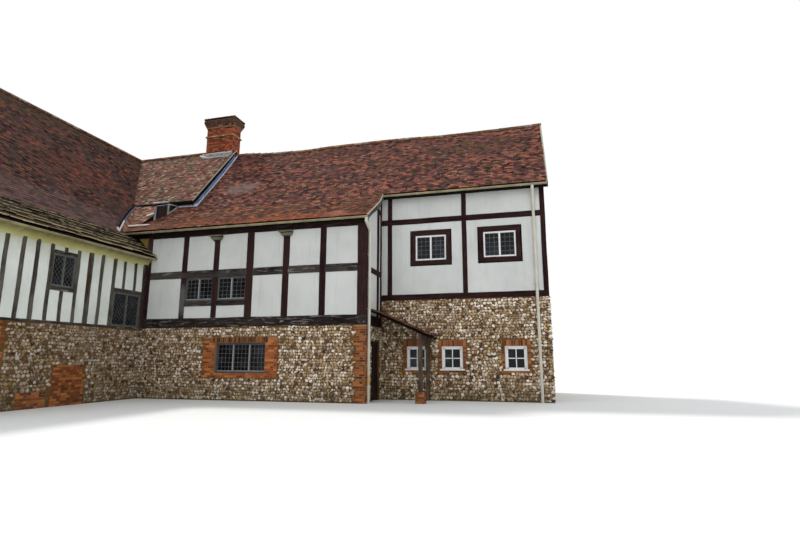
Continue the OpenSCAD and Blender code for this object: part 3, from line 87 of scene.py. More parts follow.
@dataclass(frozen=True)
class Lines:
    """The lines that the house's pieces share, as the part's source gives them."""

    wing_w: float = 9.8
    wing_l: float = 7.5
    outshot_l: float = 8.506
    outshot_d: float = 1.75
    gable_x: float = 14.25
    back_y: float = 6.9
    ridge_y: float = 4.325
    flint_h: float = 2.45
    wing_flint_h: float = 2.39
    recess_flint_h: float = 3.4
    eave_y: float = -0.27
    eave_z: float = 6.035
    bell_y: float = 0.95
    main_eave_y: float = 1.45
    outshot_slope: float = math.tan(math.radians(32.4))
    main_slope: float = math.tan(math.radians(50.0))
    stone_slope: float = math.tan(math.radians(33.6))
    wing_slope: float = math.tan(math.radians(53.0))
    porch_slope: float = math.tan(math.radians(24.0))
    raise_h: float = 0.395
    raised_x: float = 0.5
    raised_eave_y: float = 1.51
    step_y: float = 1.70
    low_y: float = 0.3
    wing_eave_x: float = 0.37
    wing_eave_z: float = 5.065
    stone_x: float = -1.05
    verge_x: float = 8.616
    east_verge_x: float = 14.36
    wing_y0: float = -7.61
    wing_y1: float = 7.01
    stack: Rect = (-0.96, 0.44, 4.058, 4.678)

    @property
    def bell_z(self) -> float:
        """Height where the outshot roof starts to steepen."""
        return self.eave_z + self.outshot_slope * (self.bell_y - self.eave_y)

    @property
    def main_eave_z(self) -> float:
        """Height of the main roof's own eave."""
        run = self.main_eave_y - self.bell_y
        return self.bell_z + (self.outshot_slope + self.main_slope) / 2 * run

    @property
    def wing_ridge_x(self) -> float:
        """Plan line of the wing's ridge."""
        return -self.wing_w / 2

    @property
    def stone_z(self) -> float:
        """Height where the stone slabs end and the wing's tiles start."""
        return self.wing_eave_z + self.stone_slope * (self.wing_eave_x - self.stone_x)

    @property
    def wing_ridge_z(self) -> float:
        """Height of the wing's ridge."""
        return self.stone_z + self.wing_slope * (self.stone_x - self.wing_ridge_x)

    @property
    def main_ridge_z(self) -> float:
        """Height of the main ridge."""
        return self.main_top(self.ridge_y)

    @property
    def bell(self) -> list[Span]:
        """The outshot roof's line from its eave over the bellcast."""
        return [(y, self.outshot_top(y)) for y in (self.eave_y, 0.95, 1.05, 1.15, 1.25, 1.35, 1.45)]

    def outshot_top(self, y: float) -> float:
        """Gives the outshot roof's height, its bellcast included.

        Args:
            y: Depth.

        Returns:
            The height.
        """
        if y < self.bell_y:
            return self.eave_z + self.outshot_slope * (y - self.eave_y)
        run = self.main_eave_y - self.bell_y
        steep = (self.main_slope - self.outshot_slope) / (2 * run)
        return self.bell_z + self.outshot_slope * (y - self.bell_y) + steep * (y - self.bell_y) ** 2

    def main_top(self, y: float) -> float:
        """Gives the main roof's height at a depth in front of the ridge."""
        return self.main_eave_z + self.main_slope * (y - self.main_eave_y)

    def low_top(self, y: float) -> float:
        """Gives the height of the low slope beside the valley.

        Args:
            y: Depth.

        Returns:
            The height.
        """
        start = self.outshot_top(self.low_y)
        under = self.main_top(self.raised_eave_y) + self.raise_h - 0.06 / math.cos(math.radians(50.0))
        return start + (under - 0.02 - start) / (self.raised_eave_y - self.low_y) * (y - self.low_y)

    def wing_top(self, x: float) -> float:
        """Gives the height of the wing's east slope.

        Args:
            x: Plan line.

        Returns:
            The height.
        """
        if x > self.stone_x:
            return self.wing_eave_z + self.stone_slope * (self.wing_eave_x - x)
        return self.stone_z + self.wing_slope * (self.stone_x - x)

    def range_top(self, x: float, y: float) -> float:
        """Gives the height of the roofs beside the wing, the raised roof included.

        Args:
            x: Plan line.
            y: Depth.

        Returns:
            The height, or -1 in front of the eave.
        """
        if y > self.ridge_y:
            y = 2 * self.ridge_y - y
        if y < self.eave_y:
            return -1.0
        if y < self.main_eave_y:
            return self.outshot_top(y)
        lift = self.raise_h if x < self.raised_x and y > self.raised_eave_y else 0.0
        return self.main_top(y) + lift


LINES = Lines()


@dataclass(frozen=True)
class Wall:
    """A wall's outer face. It is drawn along its own X with its inside at +Y, and turned into place."""

    x: float
    y: float
    turn: float

    @property
    def place(self) -> Matrix:
        """The matrix from the wall's own axes to the house's."""
        return turned(self.x, self.y, 0.0, self.turn)


def turned(x: float = 0.0, y: float = 0.0, z: float = 0.0, angle: float = 0.0, axis: str = "Z") -> Matrix:
    """Gives a place with a turn in degrees about one axis."""
    return Matrix.Translation((x, y, z)) @ Matrix.Rotation(math.radians(angle), 4, axis)


def axes(first: Vector, second: Vector, third: Vector, origin: Vector) -> Matrix:
    """Gives a place from its three axes and its origin.

    Args:
        first: Its X axis.
        second: Its Y axis.
        third: Its Z axis.
        origin: Where it is.

    Returns:
        The matrix.
    """
    place = Matrix((first, second, third)).transposed().to_4x4()
    place.translation = origin
    return place


def four_sides(x0: float, x1: float, y0: float, y1: float) -> list[tuple[Wall, float]]:
    """Gives the four walls round a rectangle, with their lengths."""
    corners = ((x0, y0, 0, x1 - x0), (x1, y0, 90, y1 - y0), (x1, y1, 180, x1 - x0), (x0, y1, -90, y1 - y0))
    return [(Wall(x, y, turn), length) for x, y, turn, length in corners]


MAIN_FRONT = Wall(0.0, 0.0, 0.0)
WING_EAST = Wall(0.0, -LINES.wing_l, 90.0)
WING_WEST = Wall(-LINES.wing_w, LINES.back_y, -90.0)
WING_SOUTH = Wall(-LINES.wing_w, -LINES.wing_l, 0.0)
WING_NORTH = Wall(0.0, LINES.back_y, 180.0)
RECESS = Wall(LINES.outshot_l, LINES.outshot_d, 0.0)
RETURN = Wall(LINES.outshot_l, 0.0, 90.0)
GABLE = Wall(LINES.gable_x, LINES.outshot_d, 90.0)
REAR = Wall(LINES.gable_x, LINES.back_y, 180.0)

# Where the plain ground casements start along each wall, with their width, sill and head
CASEMENTS: dict[Wall, tuple[float, ...]] = {
    RECESS: (0.924, 2.144, 4.244), GABLE: (2.22,), REAR: (1.5, 5.2, 9.3), WING_WEST: (1.5, 4.6, 8.2, 11.6),
    WING_SOUTH: (1.9, 7.1), WING_NORTH: (1.9, 7.1)}
CASEMENT_W, CASEMENT_SILL, CASEMENT_HEAD = 0.71, 0.99, 1.79


# Shader sums


def linear(colour: Colour) -> Rect:
    """Gives the linear colour of an eight bit one.

    Args:
        colour: Red, green and blue from 0 to 255.

    Returns:
        What a colour socket takes, with full alpha.
    """
    shares = [value / 255 for value in colour]
    return (*(s / 12.92 if s <= 0.04045 else ((s + 0.055) / 1.055) ** 2.4 for s in shares), 1.0)


@dataclass(frozen=True)
class Blot:
    """A patch of another colour on a surface: its middle, how far it reaches and how strong it is."""

    centre: tuple[float, float, float]
    reach: tuple[float, float, float]
    colour: Colour
    share: float = 0.6


class Value:
    """A socket in a material's sums. Its operators add the nodes."""

    def __init__(self, mix: Mixer, socket: bpy.types.NodeSocket) -> None:
        """Wraps a socket for one mixer."""
        self.mix, self.socket = mix, socket

    def _sum(self, operation: str, left: Value | float, right: Value | float, clamp: bool = False) -> Value:
        """Adds one Math node."""
        settings = {"operation": operation, "use_clamp": clamp}
        return self.mix.value("ShaderNodeMath", settings, {0: left, 1: right})

    def __add__(self, other: Value | float) -> Value:
        """Gives self + other."""
        return self._sum("ADD", self, other)

    __radd__ = __add__

    def __sub__(self, other: Value | float) -> Value:
        """Gives self - other."""
        return self._sum("SUBTRACT", self, other)

    def __rsub__(self, other: Value | float) -> Value:
        """Gives other - self."""
        return self._sum("SUBTRACT", other, self)

    def __mul__(self, other: Value | float) -> Value:
        """Gives self * other."""
        return self._sum("MULTIPLY", self, other)

    __rmul__ = __mul__

    def __gt__(self, other: Value | float) -> Value:
        """Gives 1 where self is above other, and 0 elsewhere."""
        return self._sum("GREATER_THAN", self, other)

    def fraction(self) -> Value:
        """Gives the part behind the point, which makes a new random number of an old one."""
        return self._sum("FRACT", self, 0.0)

    def step(self, low: float, high: float) -> Value:
        """Gives a straight rise from 0 at low to 1 at high, held at both ends."""
        return self._sum("MULTIPLY", self - low, 1.0 / (high - low), clamp=True)


class Mixer:
    """A material that is being mixed."""

    def __init__(self, name: str) -> None:
        """Starts a material with a Principled shader."""
        self.material = bpy.data.materials.new(name)
        self.material.use_nodes = True
        self.tree = self.material.node_tree
        self.shader = self.tree.nodes["Principled BSDF"]
        self.place = self.value("ShaderNodeTexCoord", output="Object")

    def node(self, kind: str, settings: dict | None = None, sockets: dict | None = None) -> bpy.types.Node:
        """Adds a node.

        Args:
            kind: The node's type.
            settings: Its settings, which are set first. A ramp's stops are a list of (place, colour).
            sockets: Values or links for its sockets, by name or number.

        Returns:
            The node.
        """
        made = self.tree.nodes.new(kind)
        for key, value in (settings or {}).items():
            if key == "stops":
                self._set_stops(made.color_ramp, value)
            else:
                setattr(made, key, value)
        for key, value in (sockets or {}).items():
            self.join(made.inputs[key], value)
        return made

    def value(self, kind: str, settings: dict | None = None, sockets: dict | None = None,
              output: int | str = 0) -> Value:
        """Adds a node, as node does, and gives one of its outputs."""
        return Value(self, self.node(kind, settings, sockets).outputs[output])

    def join(self, socket: bpy.types.NodeSocket, value: Value | Colour | float) -> None:
        """Links a value to a socket, or sets it there.

        Args:
            socket: The socket.
            value: A value, a number or, for a colour socket, an eight bit colour.
        """
        if isinstance(value, Value):
            self.tree.links.new(value.socket, socket)
        else:
            socket.default_value = linear(value) if socket.type == "RGBA" else value

    @staticmethod
    def _set_stops(ramp: bpy.types.ColorRamp, stops: Sequence[tuple[float, Colour]]) -> None:
        """Writes a ramp's stops.

        Args:
            ramp: The ramp.
            stops: Each stop's place and colour.
        """
        while len(ramp.elements) < len(stops):
            ramp.elements.new(0.5)
        for element, (place, colour) in zip(ramp.elements, stops):
            element.position = place
            element.color = linear(colour)

    def stretched(self, scale: Sequence[float], source: Value | None = None) -> Value:
        """Gives the place stretched."""
        return self.value("ShaderNodeMapping", {"vector_type": "POINT"},
                          {"Vector": source or self.place, "Scale": tuple(scale)})

    def blot(self, blot: Blot) -> Value:
        """Gives a patch's share of a surface.

        Args:
            blot: The patch.

        Returns:
            Its strength at its middle, and 0 beyond its ragged edge.
        """
        shift = tuple(-centre / reach for centre, reach in zip(blot.centre, blot.reach))
        moved = self.value("ShaderNodeMapping", {"vector_type": "POINT"},
                           {"Vector": self.place, "Location": shift,
                            "Scale": tuple(1 / reach for reach in blot.reach)})
        far = self.value("ShaderNodeVectorMath", {"operation": "LENGTH"}, {0: moved}, "Value")
        ragged = far + self.noise(2.6, 4.0, 0.65) * 0.9
        return (1.0 - ragged.step(0.95, 1.35)) * blot.share

    def axis(self, name: str) -> Value:
        """Gives one coordinate of the place."""
        return self.value("ShaderNodeSeparateXYZ", None, {0: self.place}, name)

    def facing(self, name: str) -> Value:
        """Gives one coordinate of the surface's normal."""
        normal = self.value("ShaderNodeNewGeometry", output="Normal")
        return self.value("ShaderNodeSeparateXYZ", None, {0: normal}, name)

    def noise(self, scale: float, detail: float = 3.0, rough: float = 0.55, source: Value | None = None,
              warp: float = 0.0) -> Value:
        """Gives a cloudy pattern from 0 to 1."""
        return self.value("ShaderNodeTexNoise", {"noise_dimensions": "3D"},
                          {"Vector": source or self.place, "Scale": scale, "Detail": detail,
                           "Roughness": rough, "Distortion": warp})

    def tag(self, name: str) -> Value:
        """Gives a number that a piece carries at its points."""
        return self.value("ShaderNodeAttribute", {"attribute_name": name}, output="Fac")

    def along_grain(self) -> Value:
        """Gives a timber's own coordinates: along its grain and across it."""
        return self.value("ShaderNodeUVMap", {"uv_map": "grain"})

    def ramp(self, share: Value, stops: Sequence[tuple[float, Colour]]) -> Value:
        """Gives a colour for a share from 0 to 1."""
        return self.value("ShaderNodeValToRGB", {"stops": stops}, {0: share})

    def blend(self, first: Value | Colour, second: Value | Colour, share: Value | float) -> Value:
        """Mixes two colours."""
        return self.value("ShaderNodeMix", {"data_type": "RGBA"}, {0: share, 6: first, 7: second}, 2)

    def shade(self, colour: Value, share: Value) -> Value:
        """Multiplies a colour by a grey value."""
        settings = {"data_type": "RGBA", "blend_type": "MULTIPLY"}
        return self.value("ShaderNodeMix", settings, {0: 1.0, 6: colour, 7: share}, 2)

    def done(self, colour: Value | Colour, rough: Value | float, height: Value | None = None,
             strength: float = 0.3, depth: float = 0.01, **fixed: float) -> Material:
        """Connects the shader.

        Args:
            colour: The base colour, linked or fixed.
            rough: The roughness, linked or fixed.
            height: What the bump reads, if anything.
            strength: Strength of the bump.
            depth: Depth of the bump in metres.
            fixed: Fixed values of other sockets, with underscores for spaces.

        Returns:
            The material.
        """
        self.join(self.shader.inputs["Base Color"], colour)
        self.join(self.shader.inputs["Roughness"], rough)
        for name, value in fixed.items():
            self.shader.inputs[name.replace("_", " ")].default_value = value
        if height is not None:
            sockets = {"Strength": strength, "Distance": depth, "Height": height}
            self.join(self.shader.inputs["Normal"], self.value("ShaderNodeBump", None, sockets))
        return self.material


# Finishes


@dataclass(frozen=True)
class ClayTile:
    """Old clay tiles: each tile has its own tone, with weathering in patches, moss and lichen, and painted
    shade under the tail of the tile above.
    """

    name: str
    tones: tuple[Colour, ...]
    weather: Colour
    blots: tuple[Blot, ...] = ()
    pale: Colour = (164, 150, 134)
    pale_share: float = 0.05
    moss: Colour = (84, 80, 44)
    moss_edge: float = 0.62
    cloudy: float = 0.5
    course_shade: float = 0.5
    plum: Colour = (98, 66, 72)
    olive: Colour = (96, 82, 58)

    def make(self) -> Material:
        """Mixes the material.

        Returns:
            The material.
        """
        mix = Mixer(self.name)
        tone = mix.tag("tone")
        cloud = mix.noise(0.8, 4.0, 0.65)
        fine = mix.noise(11.0, 4.0, 0.7)
        share = tone * 0.86 + cloud * self.cloudy + fine * 0.62 - (self.cloudy * 0.5 + 0.24)
        last = len(self.tones) - 1
        clay = mix.ramp(share, [(i / last, colour) for i, colour in enumerate(self.tones)])
        batch = (tone * 91.3).fraction()
        clay = mix.blend(clay, self.plum, batch.step(0.74, 0.82) * 0.42)
        clay = mix.blend(clay, self.olive, (1.0 - batch.step(0.1, 0.18)) * 0.38)
        worn = mix.noise(1.3, 4.0, 0.65, warp=0.8).step(0.5, 0.66) * 0.6
        clay = mix.blend(clay, self.weather, worn)
        for blot in self.blots:
            clay = mix.blend(clay, blot.colour, mix.blot(blot) * (tone * 0.7 + 0.5))
        odd = (tone * 37.7).fraction()
        crust_edge = 1.16 - self.pale_share * 2.2
        crust = (fine * 0.6 + odd * 0.8).step(crust_edge, crust_edge + 0.1)
        clay = mix.blend(clay, self.pale, crust * 0.8)
        mossy = (mix.noise(3.4, 4.0, 0.7) + odd * 0.06).step(self.moss_edge, self.moss_edge + 0.1)
        clay = mix.blend(clay, self.moss, mossy * 0.75)
        # Painted shade: the upper part of each tile's exposed face, just below the tail of the tile above, is
        # darkened; the fine noise adds dirt.
        lap = mix.tag("lap").step(0.42, 0.66) * self.course_shade
        dirt = (1.0 - lap) * (fine * 0.5 + 0.75)
        return mix.done(mix.shade(clay, dirt), 0.95, fine + crust * 0.4, 0.5, 0.006, Specular_IOR_Level=0.08)


@dataclass(frozen=True)
class Flint:
    """Flint nodules: white rinds, creams, browns and the dark glassy insides.

    The walls are darker and yellower beside the wing and on its east wall, as painted shade, and paler towards
    the porch.
    """

    name: str
    side_shade: float = 0.0

    def make(self) -> Material:
        """Mixes the material.

        Returns:
            The material.
        """
        mix = Mixer(self.name)
        stone = mix.ramp(mix.tag("tone"), [
            (0.0, (32, 25, 23)), (0.1, (98, 74, 52)), (0.22, (158, 128, 90)), (0.38, (204, 176, 132)),
            (0.5, (104, 84, 74)), (0.6, (230, 210, 184)), (0.74, (172, 146, 116)), (0.84, (253, 242, 226))])
        patch = mix.noise(15.0, 3.0, 0.65)
        stone = mix.blend(stone, (240, 224, 206), patch.step(0.55, 0.66) * 0.7)
        stone = mix.blend(stone, (50, 38, 34), mix.noise(24.0, 2.0, 0.6).step(0.58, 0.68) * 0.65)
        grime = mix.noise(0.8, 4.0, 0.6).step(0.35, 0.65) * 0.22
        # Painted shade: at low X, beside the wing and on its east wall, the flints are darkened and yellowed.
        if self.side_shade > 0:
            far = (1.0 - mix.axis("X").step(-0.5, 5.0)) * self.side_shade
            stone = mix.shade(stone, 1.0 - far * 0.6)
            grime = grime + far * 0.4
        stone = mix.blend(stone, (74, 56, 30), grime)
        damp = (1.0 - mix.axis("Z").step(0.0, 0.7)) * 0.3
        stone = mix.blend(stone, (82, 78, 44), damp)
        return mix.done(stone, patch * 0.35 + 0.42, patch, 0.35, 0.004, Specular_IOR_Level=0.3)


@dataclass(frozen=True)
class LimeMortar:
    """Coarse lime mortar with grit."""

    name: str
    light: Colour = (132, 98, 54)
    dark: Colour = (54, 33, 16)
    grime: Colour = (70, 66, 44)

    def make(self) -> Material:
        """Mixes the material.

        Returns:
            The material.
        """
        mix = Mixer(self.name)
        grit = mix.noise(60.0, 2.0, 0.7)
        cloud = mix.noise(1.4, 4.0, 0.6)
        lime = mix.blend(self.dark, self.light, cloud * 0.7 + grit * 0.7 - 0.2)
        damp = (0.6 - mix.axis("Z")).step(0.0, 0.6)
        lime = mix.blend(lime, self.grime, damp * 0.5)
        return mix.done(lime, 0.95, grit, 0.5, 0.006, Specular_IOR_Level=0.2)


@dataclass(frozen=True)
class Brick:
    """Old soft bricks, each with its own tone."""

    name: str
    dark: Colour
    mid: Colour
    light: Colour
    sooty: float = 0.0

    def make(self) -> Material:
        """Mixes the material.

        Returns:
            The material.
        """
        mix = Mixer(self.name)
        fine = mix.noise(34.0, 3.0, 0.7)
        share = mix.tag("tone") * 0.95 + fine * 0.3 - 0.12
        clay = mix.ramp(share, [(0.0, self.dark), (0.5, self.mid), (1.0, self.light)])
        clay = mix.blend(clay, (176, 140, 112), mix.noise(5.0, 3.0, 0.6).step(0.58, 0.74) * 0.3)
        if self.sooty > 0:
            clay = mix.blend(clay, (62, 46, 42), mix.noise(1.7, 3.0, 0.6).step(0.35, 0.7) * self.sooty)
        return mix.done(clay, 0.92, fine, 0.5, 0.004, Specular_IOR_Level=0.2)


@dataclass(frozen=True)
class Limewash:
    """Limewashed plaster, lightly trowelled, with dirt and algae under the eaves."""

    name: str
    wash: Colour
    shade: Colour
    algae: Colour = (150, 152, 96)
    algae_z: Span = (9.0, 9.5)
    algae_share: float = 0.0

    def make(self) -> Material:
        """Mixes the material.

        Returns:
            The material.
        """
        mix = Mixer(self.name)
        wash = mix.blend(self.shade, self.wash, mix.noise(0.9, 4.0, 0.55).step(0.3, 0.6))
        runs = mix.noise(1.0, 4.0, 0.6, source=mix.stretched((5.0, 5.0, 0.5)))
        wash = mix.blend(wash, (172, 170, 158), runs.step(0.56, 0.8) * 0.45)
        if self.algae_share > 0:
            high = mix.axis("Z").step(*self.algae_z)
            wash = mix.blend(wash, self.algae, high * (runs * 0.9 + 0.25) * self.algae_share)
        trowel = mix.noise(5.0, 3.0, 0.5) + mix.noise(40.0, 2.0, 0.6) * 0.15
        return mix.done(wash, 0.88, trowel, 0.25, 0.01, Specular_IOR_Level=0.3)


@dataclass(frozen=True)
class Oak:
    """Dark old oak with open grain, silvered where the rain reaches it, and darkened above a height as painted
    shade under the eaves.
    """

    name: str
    dark: Colour
    mid: Colour
    silver: Colour = (122, 116, 110)
    silvered: float = 0.25
    algae: float = 0.0
    by_object: bool = False
    blots: tuple[Blot, ...] = ()
    painted_shade_z: float = 99.0
    streak: float = 0.0

    def make(self) -> Material:
        """Mixes the material.

        Returns:
            The material.
        """
        mix = Mixer(self.name)
        source = mix.place if self.by_object else mix.along_grain()
        coarse, close = (1.3, 16.0, 1.0), (3.0, 90.0, 1.0)
        if self.by_object:
            coarse, close = (9.0, 9.0, 1.1), (60.0, 60.0, 3.0)
        grain = mix.noise(1.0, 5.0, 0.65, source=mix.stretched(coarse, source), warp=0.5)
        fibre = mix.noise(1.0, 3.0, 0.6, source=mix.stretched(close, source))
        wood = mix.blend(self.dark, self.mid, grain.step(0.32, 0.62))
        rain = (mix.noise(1.3, 3.0, 0.6) * 0.6 + grain * 0.5 + mix.tag("tone") * 0.2).step(0.5, 0.75)
        wood = mix.blend(wood, self.silver, rain * self.silvered)
        for blot in self.blots:
            wood = mix.blend(wood, blot.colour, mix.blot(blot))
        if self.streak > 0:
            bleached = mix.noise(1.0, 4.0, 0.6, source=mix.stretched((1.6, 9.0, 1.0), source), warp=1.2)
            wood = mix.blend(wood, (168, 162, 156), bleached.step(0.56, 0.68) * self.streak)
        # Painted shade: timber above the given height, under the eaves, is darkened almost to black.
        if self.painted_shade_z < LINES.wing_ridge_z:
            wood = mix.blend(wood, (34, 17, 15), (mix.axis("Z") > self.painted_shade_z) * 0.85)
        if self.algae > 0:
            wood = mix.blend(wood, (104, 106, 78), mix.noise(3.0, 3.0, 0.6).step(0.42, 0.62) * self.algae)
        checks = fibre.step(0.36, 0.46)
        wood = mix.shade(wood, checks * 0.35 + 0.65)
        return mix.done(wood, 0.9, grain * 0.6 + checks * 0.5, 0.6, 0.006, Specular_IOR_Level=0.1)


@dataclass(frozen=True)
class Stone:
    """Split stone slabs, dark on top with moss, and pale with lichen on their broken edges."""

    name: str
    dark: Colour = (17, 11, 7)
    mid: Colour = (56, 42, 27)
    cream: Colour = (184, 166, 128)
    moss: Colour = (104, 98, 34)

    def make(self) -> Material:
        """Mixes the material.

        Returns:
            The material.
        """
        mix = Mixer(self.name)
        tone = mix.tag("tone")
        fine = mix.noise(18.0, 4.0, 0.65)
        slab = mix.blend(self.dark, self.mid, tone * 0.6 + fine * 0.9 - 0.4)
        slab = mix.blend(slab, self.moss, mix.noise(5.5, 4.0, 0.7).step(0.6, 0.7) * 0.6)
        upright = 1.0 - mix.facing("Z").step(0.3, 0.8)
        crust = (mix.noise(7.0, 3.0, 0.6) + tone * 0.4).step(0.46, 0.7)
        slab = mix.blend(slab, self.cream, upright * (crust * 0.9 + 0.1))
        slab = mix.blend(slab, self.cream, mix.noise(9.0, 4.0, 0.7).step(0.6, 0.7) * 0.12)
        return mix.done(slab, 0.95, fine, 0.6, 0.01, Specular_IOR_Level=0.05)


@dataclass(frozen=True)
class Lead:
    """Weathered sheet lead."""

    name: str
    sheet: Colour
    patina: Colour
    dark: Colour = (84, 92, 106)

    def make(self) -> Material:
        """Mixes the material.

        Returns:
            The material.
        """
        mix = Mixer(self.name)
        runs = mix.noise(1.0, 4.0, 0.6, source=mix.stretched((9.0, 2.0, 2.0)))
        sheet = mix.blend(self.sheet, self.patina, runs.step(0.42, 0.66))
        sheet = mix.blend(sheet, self.dark, mix.noise(6.0, 3.0, 0.6).step(0.58, 0.72) * 0.6)
        return mix.done(sheet, runs * 0.3 + 0.45, runs, 0.2, 0.005, Metallic=0.15)


@dataclass(frozen=True)
class OldPaint:
    """Old gloss paint on iron or wood, with dirt, algae and bare spots."""

    name: str
    paint: Colour
    dirt: Colour
    bare: Colour
    dirty: float = 0.5
    bare_edge: float = 0.7
    blots: tuple[Blot, ...] = ()

    def make(self) -> Material:
        """Mixes the material.

        Returns:
            The material.
        """
        mix = Mixer(self.name)
        cloud = mix.noise(2.2, 4.0, 0.65)
        coat = mix.blend(self.paint, self.dirt, cloud.step(0.38, 0.7) * self.dirty)
        for blot in self.blots:
            coat = mix.blend(coat, blot.colour, mix.blot(blot))
        chips = mix.noise(26.0, 3.0, 0.6).step(self.bare_edge, self.bare_edge + 0.04)
        coat = mix.blend(coat, self.bare, chips)
        return mix.done(coat, cloud * 0.4 + 0.4, mix.noise(30.0, 2.0) - chips * 0.6, 0.2, 0.002)


@dataclass(frozen=True)
class OldGlass:
    """Old glass, near-black as painted shade for the dark room behind it, each pane a little out of true."""

    name: str
    painted_room_shade: Colour = (14, 14, 16)
    pale: Colour = (40, 46, 56)

    def make(self) -> Material:
        """Mixes the material.

        Returns:
            The material.
        """
        mix = Mixer(self.name)
        # The near-black colour is painted shade for the unlit room behind the glass.
        colour = mix.blend(self.painted_room_shade, self.pale, mix.noise(2.4, 2.0, 0.5).step(0.5, 0.7))
        waves = mix.noise(7.0, 1.0) + mix.noise(1.6, 1.0)
        return mix.done(colour, 0.09, waves, 0.12, 0.02, Specular_IOR_Level=0.2)


class Shelf:
    """All the finishes, mixed once each."""

    def __init__(self) -> None:
        """Mixes every material of the house."""
        self._clay()
        self._masonry()
        self._timber()
        self._metal_and_paint()

    def _clay(self) -> None:
        """Mixes the roofs' tiles."""
        self.tiles_outshot = ClayTile(
            "outshot_clay_tiles", ((54, 36, 30), (86, 56, 46), (112, 74, 60), (144, 92, 70), (200, 124, 86)),
            (104, 76, 60), blots=(Blot((5.6, -0.12, 6.13), (3.6, 0.42, 0.42), (186, 100, 66)),
                                  Blot((-0.4, 0.1, 6.2), (1.6, 0.8, 0.6), (152, 102, 82)),
                                  Blot((1.6, 0.2, 6.3), (1.2, 0.8, 0.5), (160, 98, 74), 0.5),
                                  Blot((7.4, 0.12, 6.25), (0.45, 0.4, 0.3), (204, 138, 114)))).make()
        self.tiles_valley = ClayTile(
            "valley_clay_tiles",
            ((84, 58, 44), (120, 84, 66), (158, 114, 94), (188, 136, 114), (222, 178, 158)),
            (146, 108, 84), pale_share=0.08, cloudy=0.3).make()
        self.tiles_main = ClayTile(
            "main_clay_tiles", ((30, 22, 23), (66, 47, 44), (104, 70, 62), (146, 89, 74), (184, 108, 84)),
            (94, 66, 61), pale_share=0.045, cloudy=0.34,
            blots=(Blot((2.2, 2.4, 8.4), (1.1, 0.6, 0.7), (152, 134, 128), 0.5),
                   Blot((5.5, 3.9, 10.2), (2.5, 0.4, 0.5), (88, 58, 52), 0.5),
                   Blot((12.0, 3.4, 9.6), (2.5, 0.9, 1.1), (86, 66, 56), 0.45))).make()
        self.tiles_raised = ClayTile(
            "raised_clay_tiles", ((62, 46, 38), (96, 70, 60), (124, 88, 76), (154, 102, 88), (190, 126, 104)),
            (118, 94, 76), pale_share=0.10, cloudy=0.3, pale=(184, 170, 150), moss=(104, 98, 66),
            moss_edge=0.58, course_shade=0.4).make()
        self.tiles_wing = ClayTile(
            "wing_clay_tiles", ((30, 22, 22), (58, 42, 40), (84, 64, 60), (106, 74, 64), (166, 88, 60)),
            (86, 71, 68), pale_share=0.0, cloudy=0.55,
            blots=(Blot((-1.35, -3.5, 6.4), (0.85, 6.5, 1.0), (118, 96, 94)),
                   Blot((-4.8, -3.0, 11.0), (0.9, 6.5, 1.2), (84, 74, 58), 0.5),
                   Blot((-2.9, -1.0, 8.5), (1.0, 2.2, 1.3), (128, 76, 56), 0.3),
                   Blot((-3.2, -6.0, 8.9), (0.9, 1.6, 1.2), (118, 76, 60), 0.25))).make()
        self.ridge = ClayTile(
            "ridge_clay", ((92, 62, 48), (120, 78, 56), (134, 92, 62), (150, 108, 70), (168, 130, 84)),
            (112, 96, 66), pale_share=0.1, course_shade=0.0, moss_edge=0.6).make()

    def _masonry(self) -> None:
        """Mixes flint, mortar, brick, stone and plaster."""
        self.flint = Flint("flint_nodules").make()
        self.flint_front = Flint("front_flint_nodules", 0.3).make()
        self.flint_wing = Flint("wing_flint_nodules", 0.5).make()
        self.mortar = LimeMortar("flint_mortar").make()
        self.brick_mortar = LimeMortar("brick_mortar", (166, 136, 104), (112, 84, 60)).make()
        self.pale_mortar = LimeMortar("pale_mortar", (206, 198, 176), (150, 142, 116)).make()
        self.white_mortar = LimeMortar("white_mortar", (236, 232, 226), (196, 188, 178)).make()
        self.dark_mortar = LimeMortar("dark_mortar", (112, 100, 86), (62, 52, 44)).make()
        self.stack_mortar = LimeMortar("stack_mortar", (160, 122, 94), (96, 66, 50)).make()
        self.moss = LimeMortar("moss_cushions", (134, 146, 62), (84, 92, 40)).make()
        self.lichen = LimeMortar("yellow_lichen", (168, 142, 62), (84, 58, 34)).make()
        self.brick = Brick("orange_brick", (78, 40, 23), (128, 70, 39), (176, 108, 60)).make()
        self.window_brick = Brick("window_brick", (110, 50, 26), (162, 84, 40), (202, 126, 68)).make()
        self.head_brick = Brick("soldier_brick", (44, 24, 15), (92, 52, 29), (146, 90, 50)).make()
        self.stack_brick = Brick("chimney_brick", (70, 26, 15), (128, 56, 32), (174, 88, 52), 0.05).make()
        self.string_brick = Brick("string_brick", (146, 112, 82), (186, 150, 112), (210, 178, 140)).make()
        self.cap_brick = Brick("sooty_brick", (22, 11, 11), (50, 30, 26), (88, 60, 48), 0.35).make()
        self.stone = Stone("stone_slabs").make()
        self.plaster = Limewash("limewashed_plaster", (212, 213, 210), (199, 201, 198)).make()
        # The wing's limewash is written lighter than the main front's, as painted light for the brighter sky
        # light on the wing's walls.
        self.wing_plaster = Limewash("wing_plaster", (227, 230, 224), (209, 213, 206), (166, 166, 100),
                                     (4.3, 4.85), 0.7).make()
        self.cove = Limewash("coved_plaster", (200, 198, 138), (178, 174, 108), (84, 62, 22),
                             (4.74, 4.95), 1.0).make()

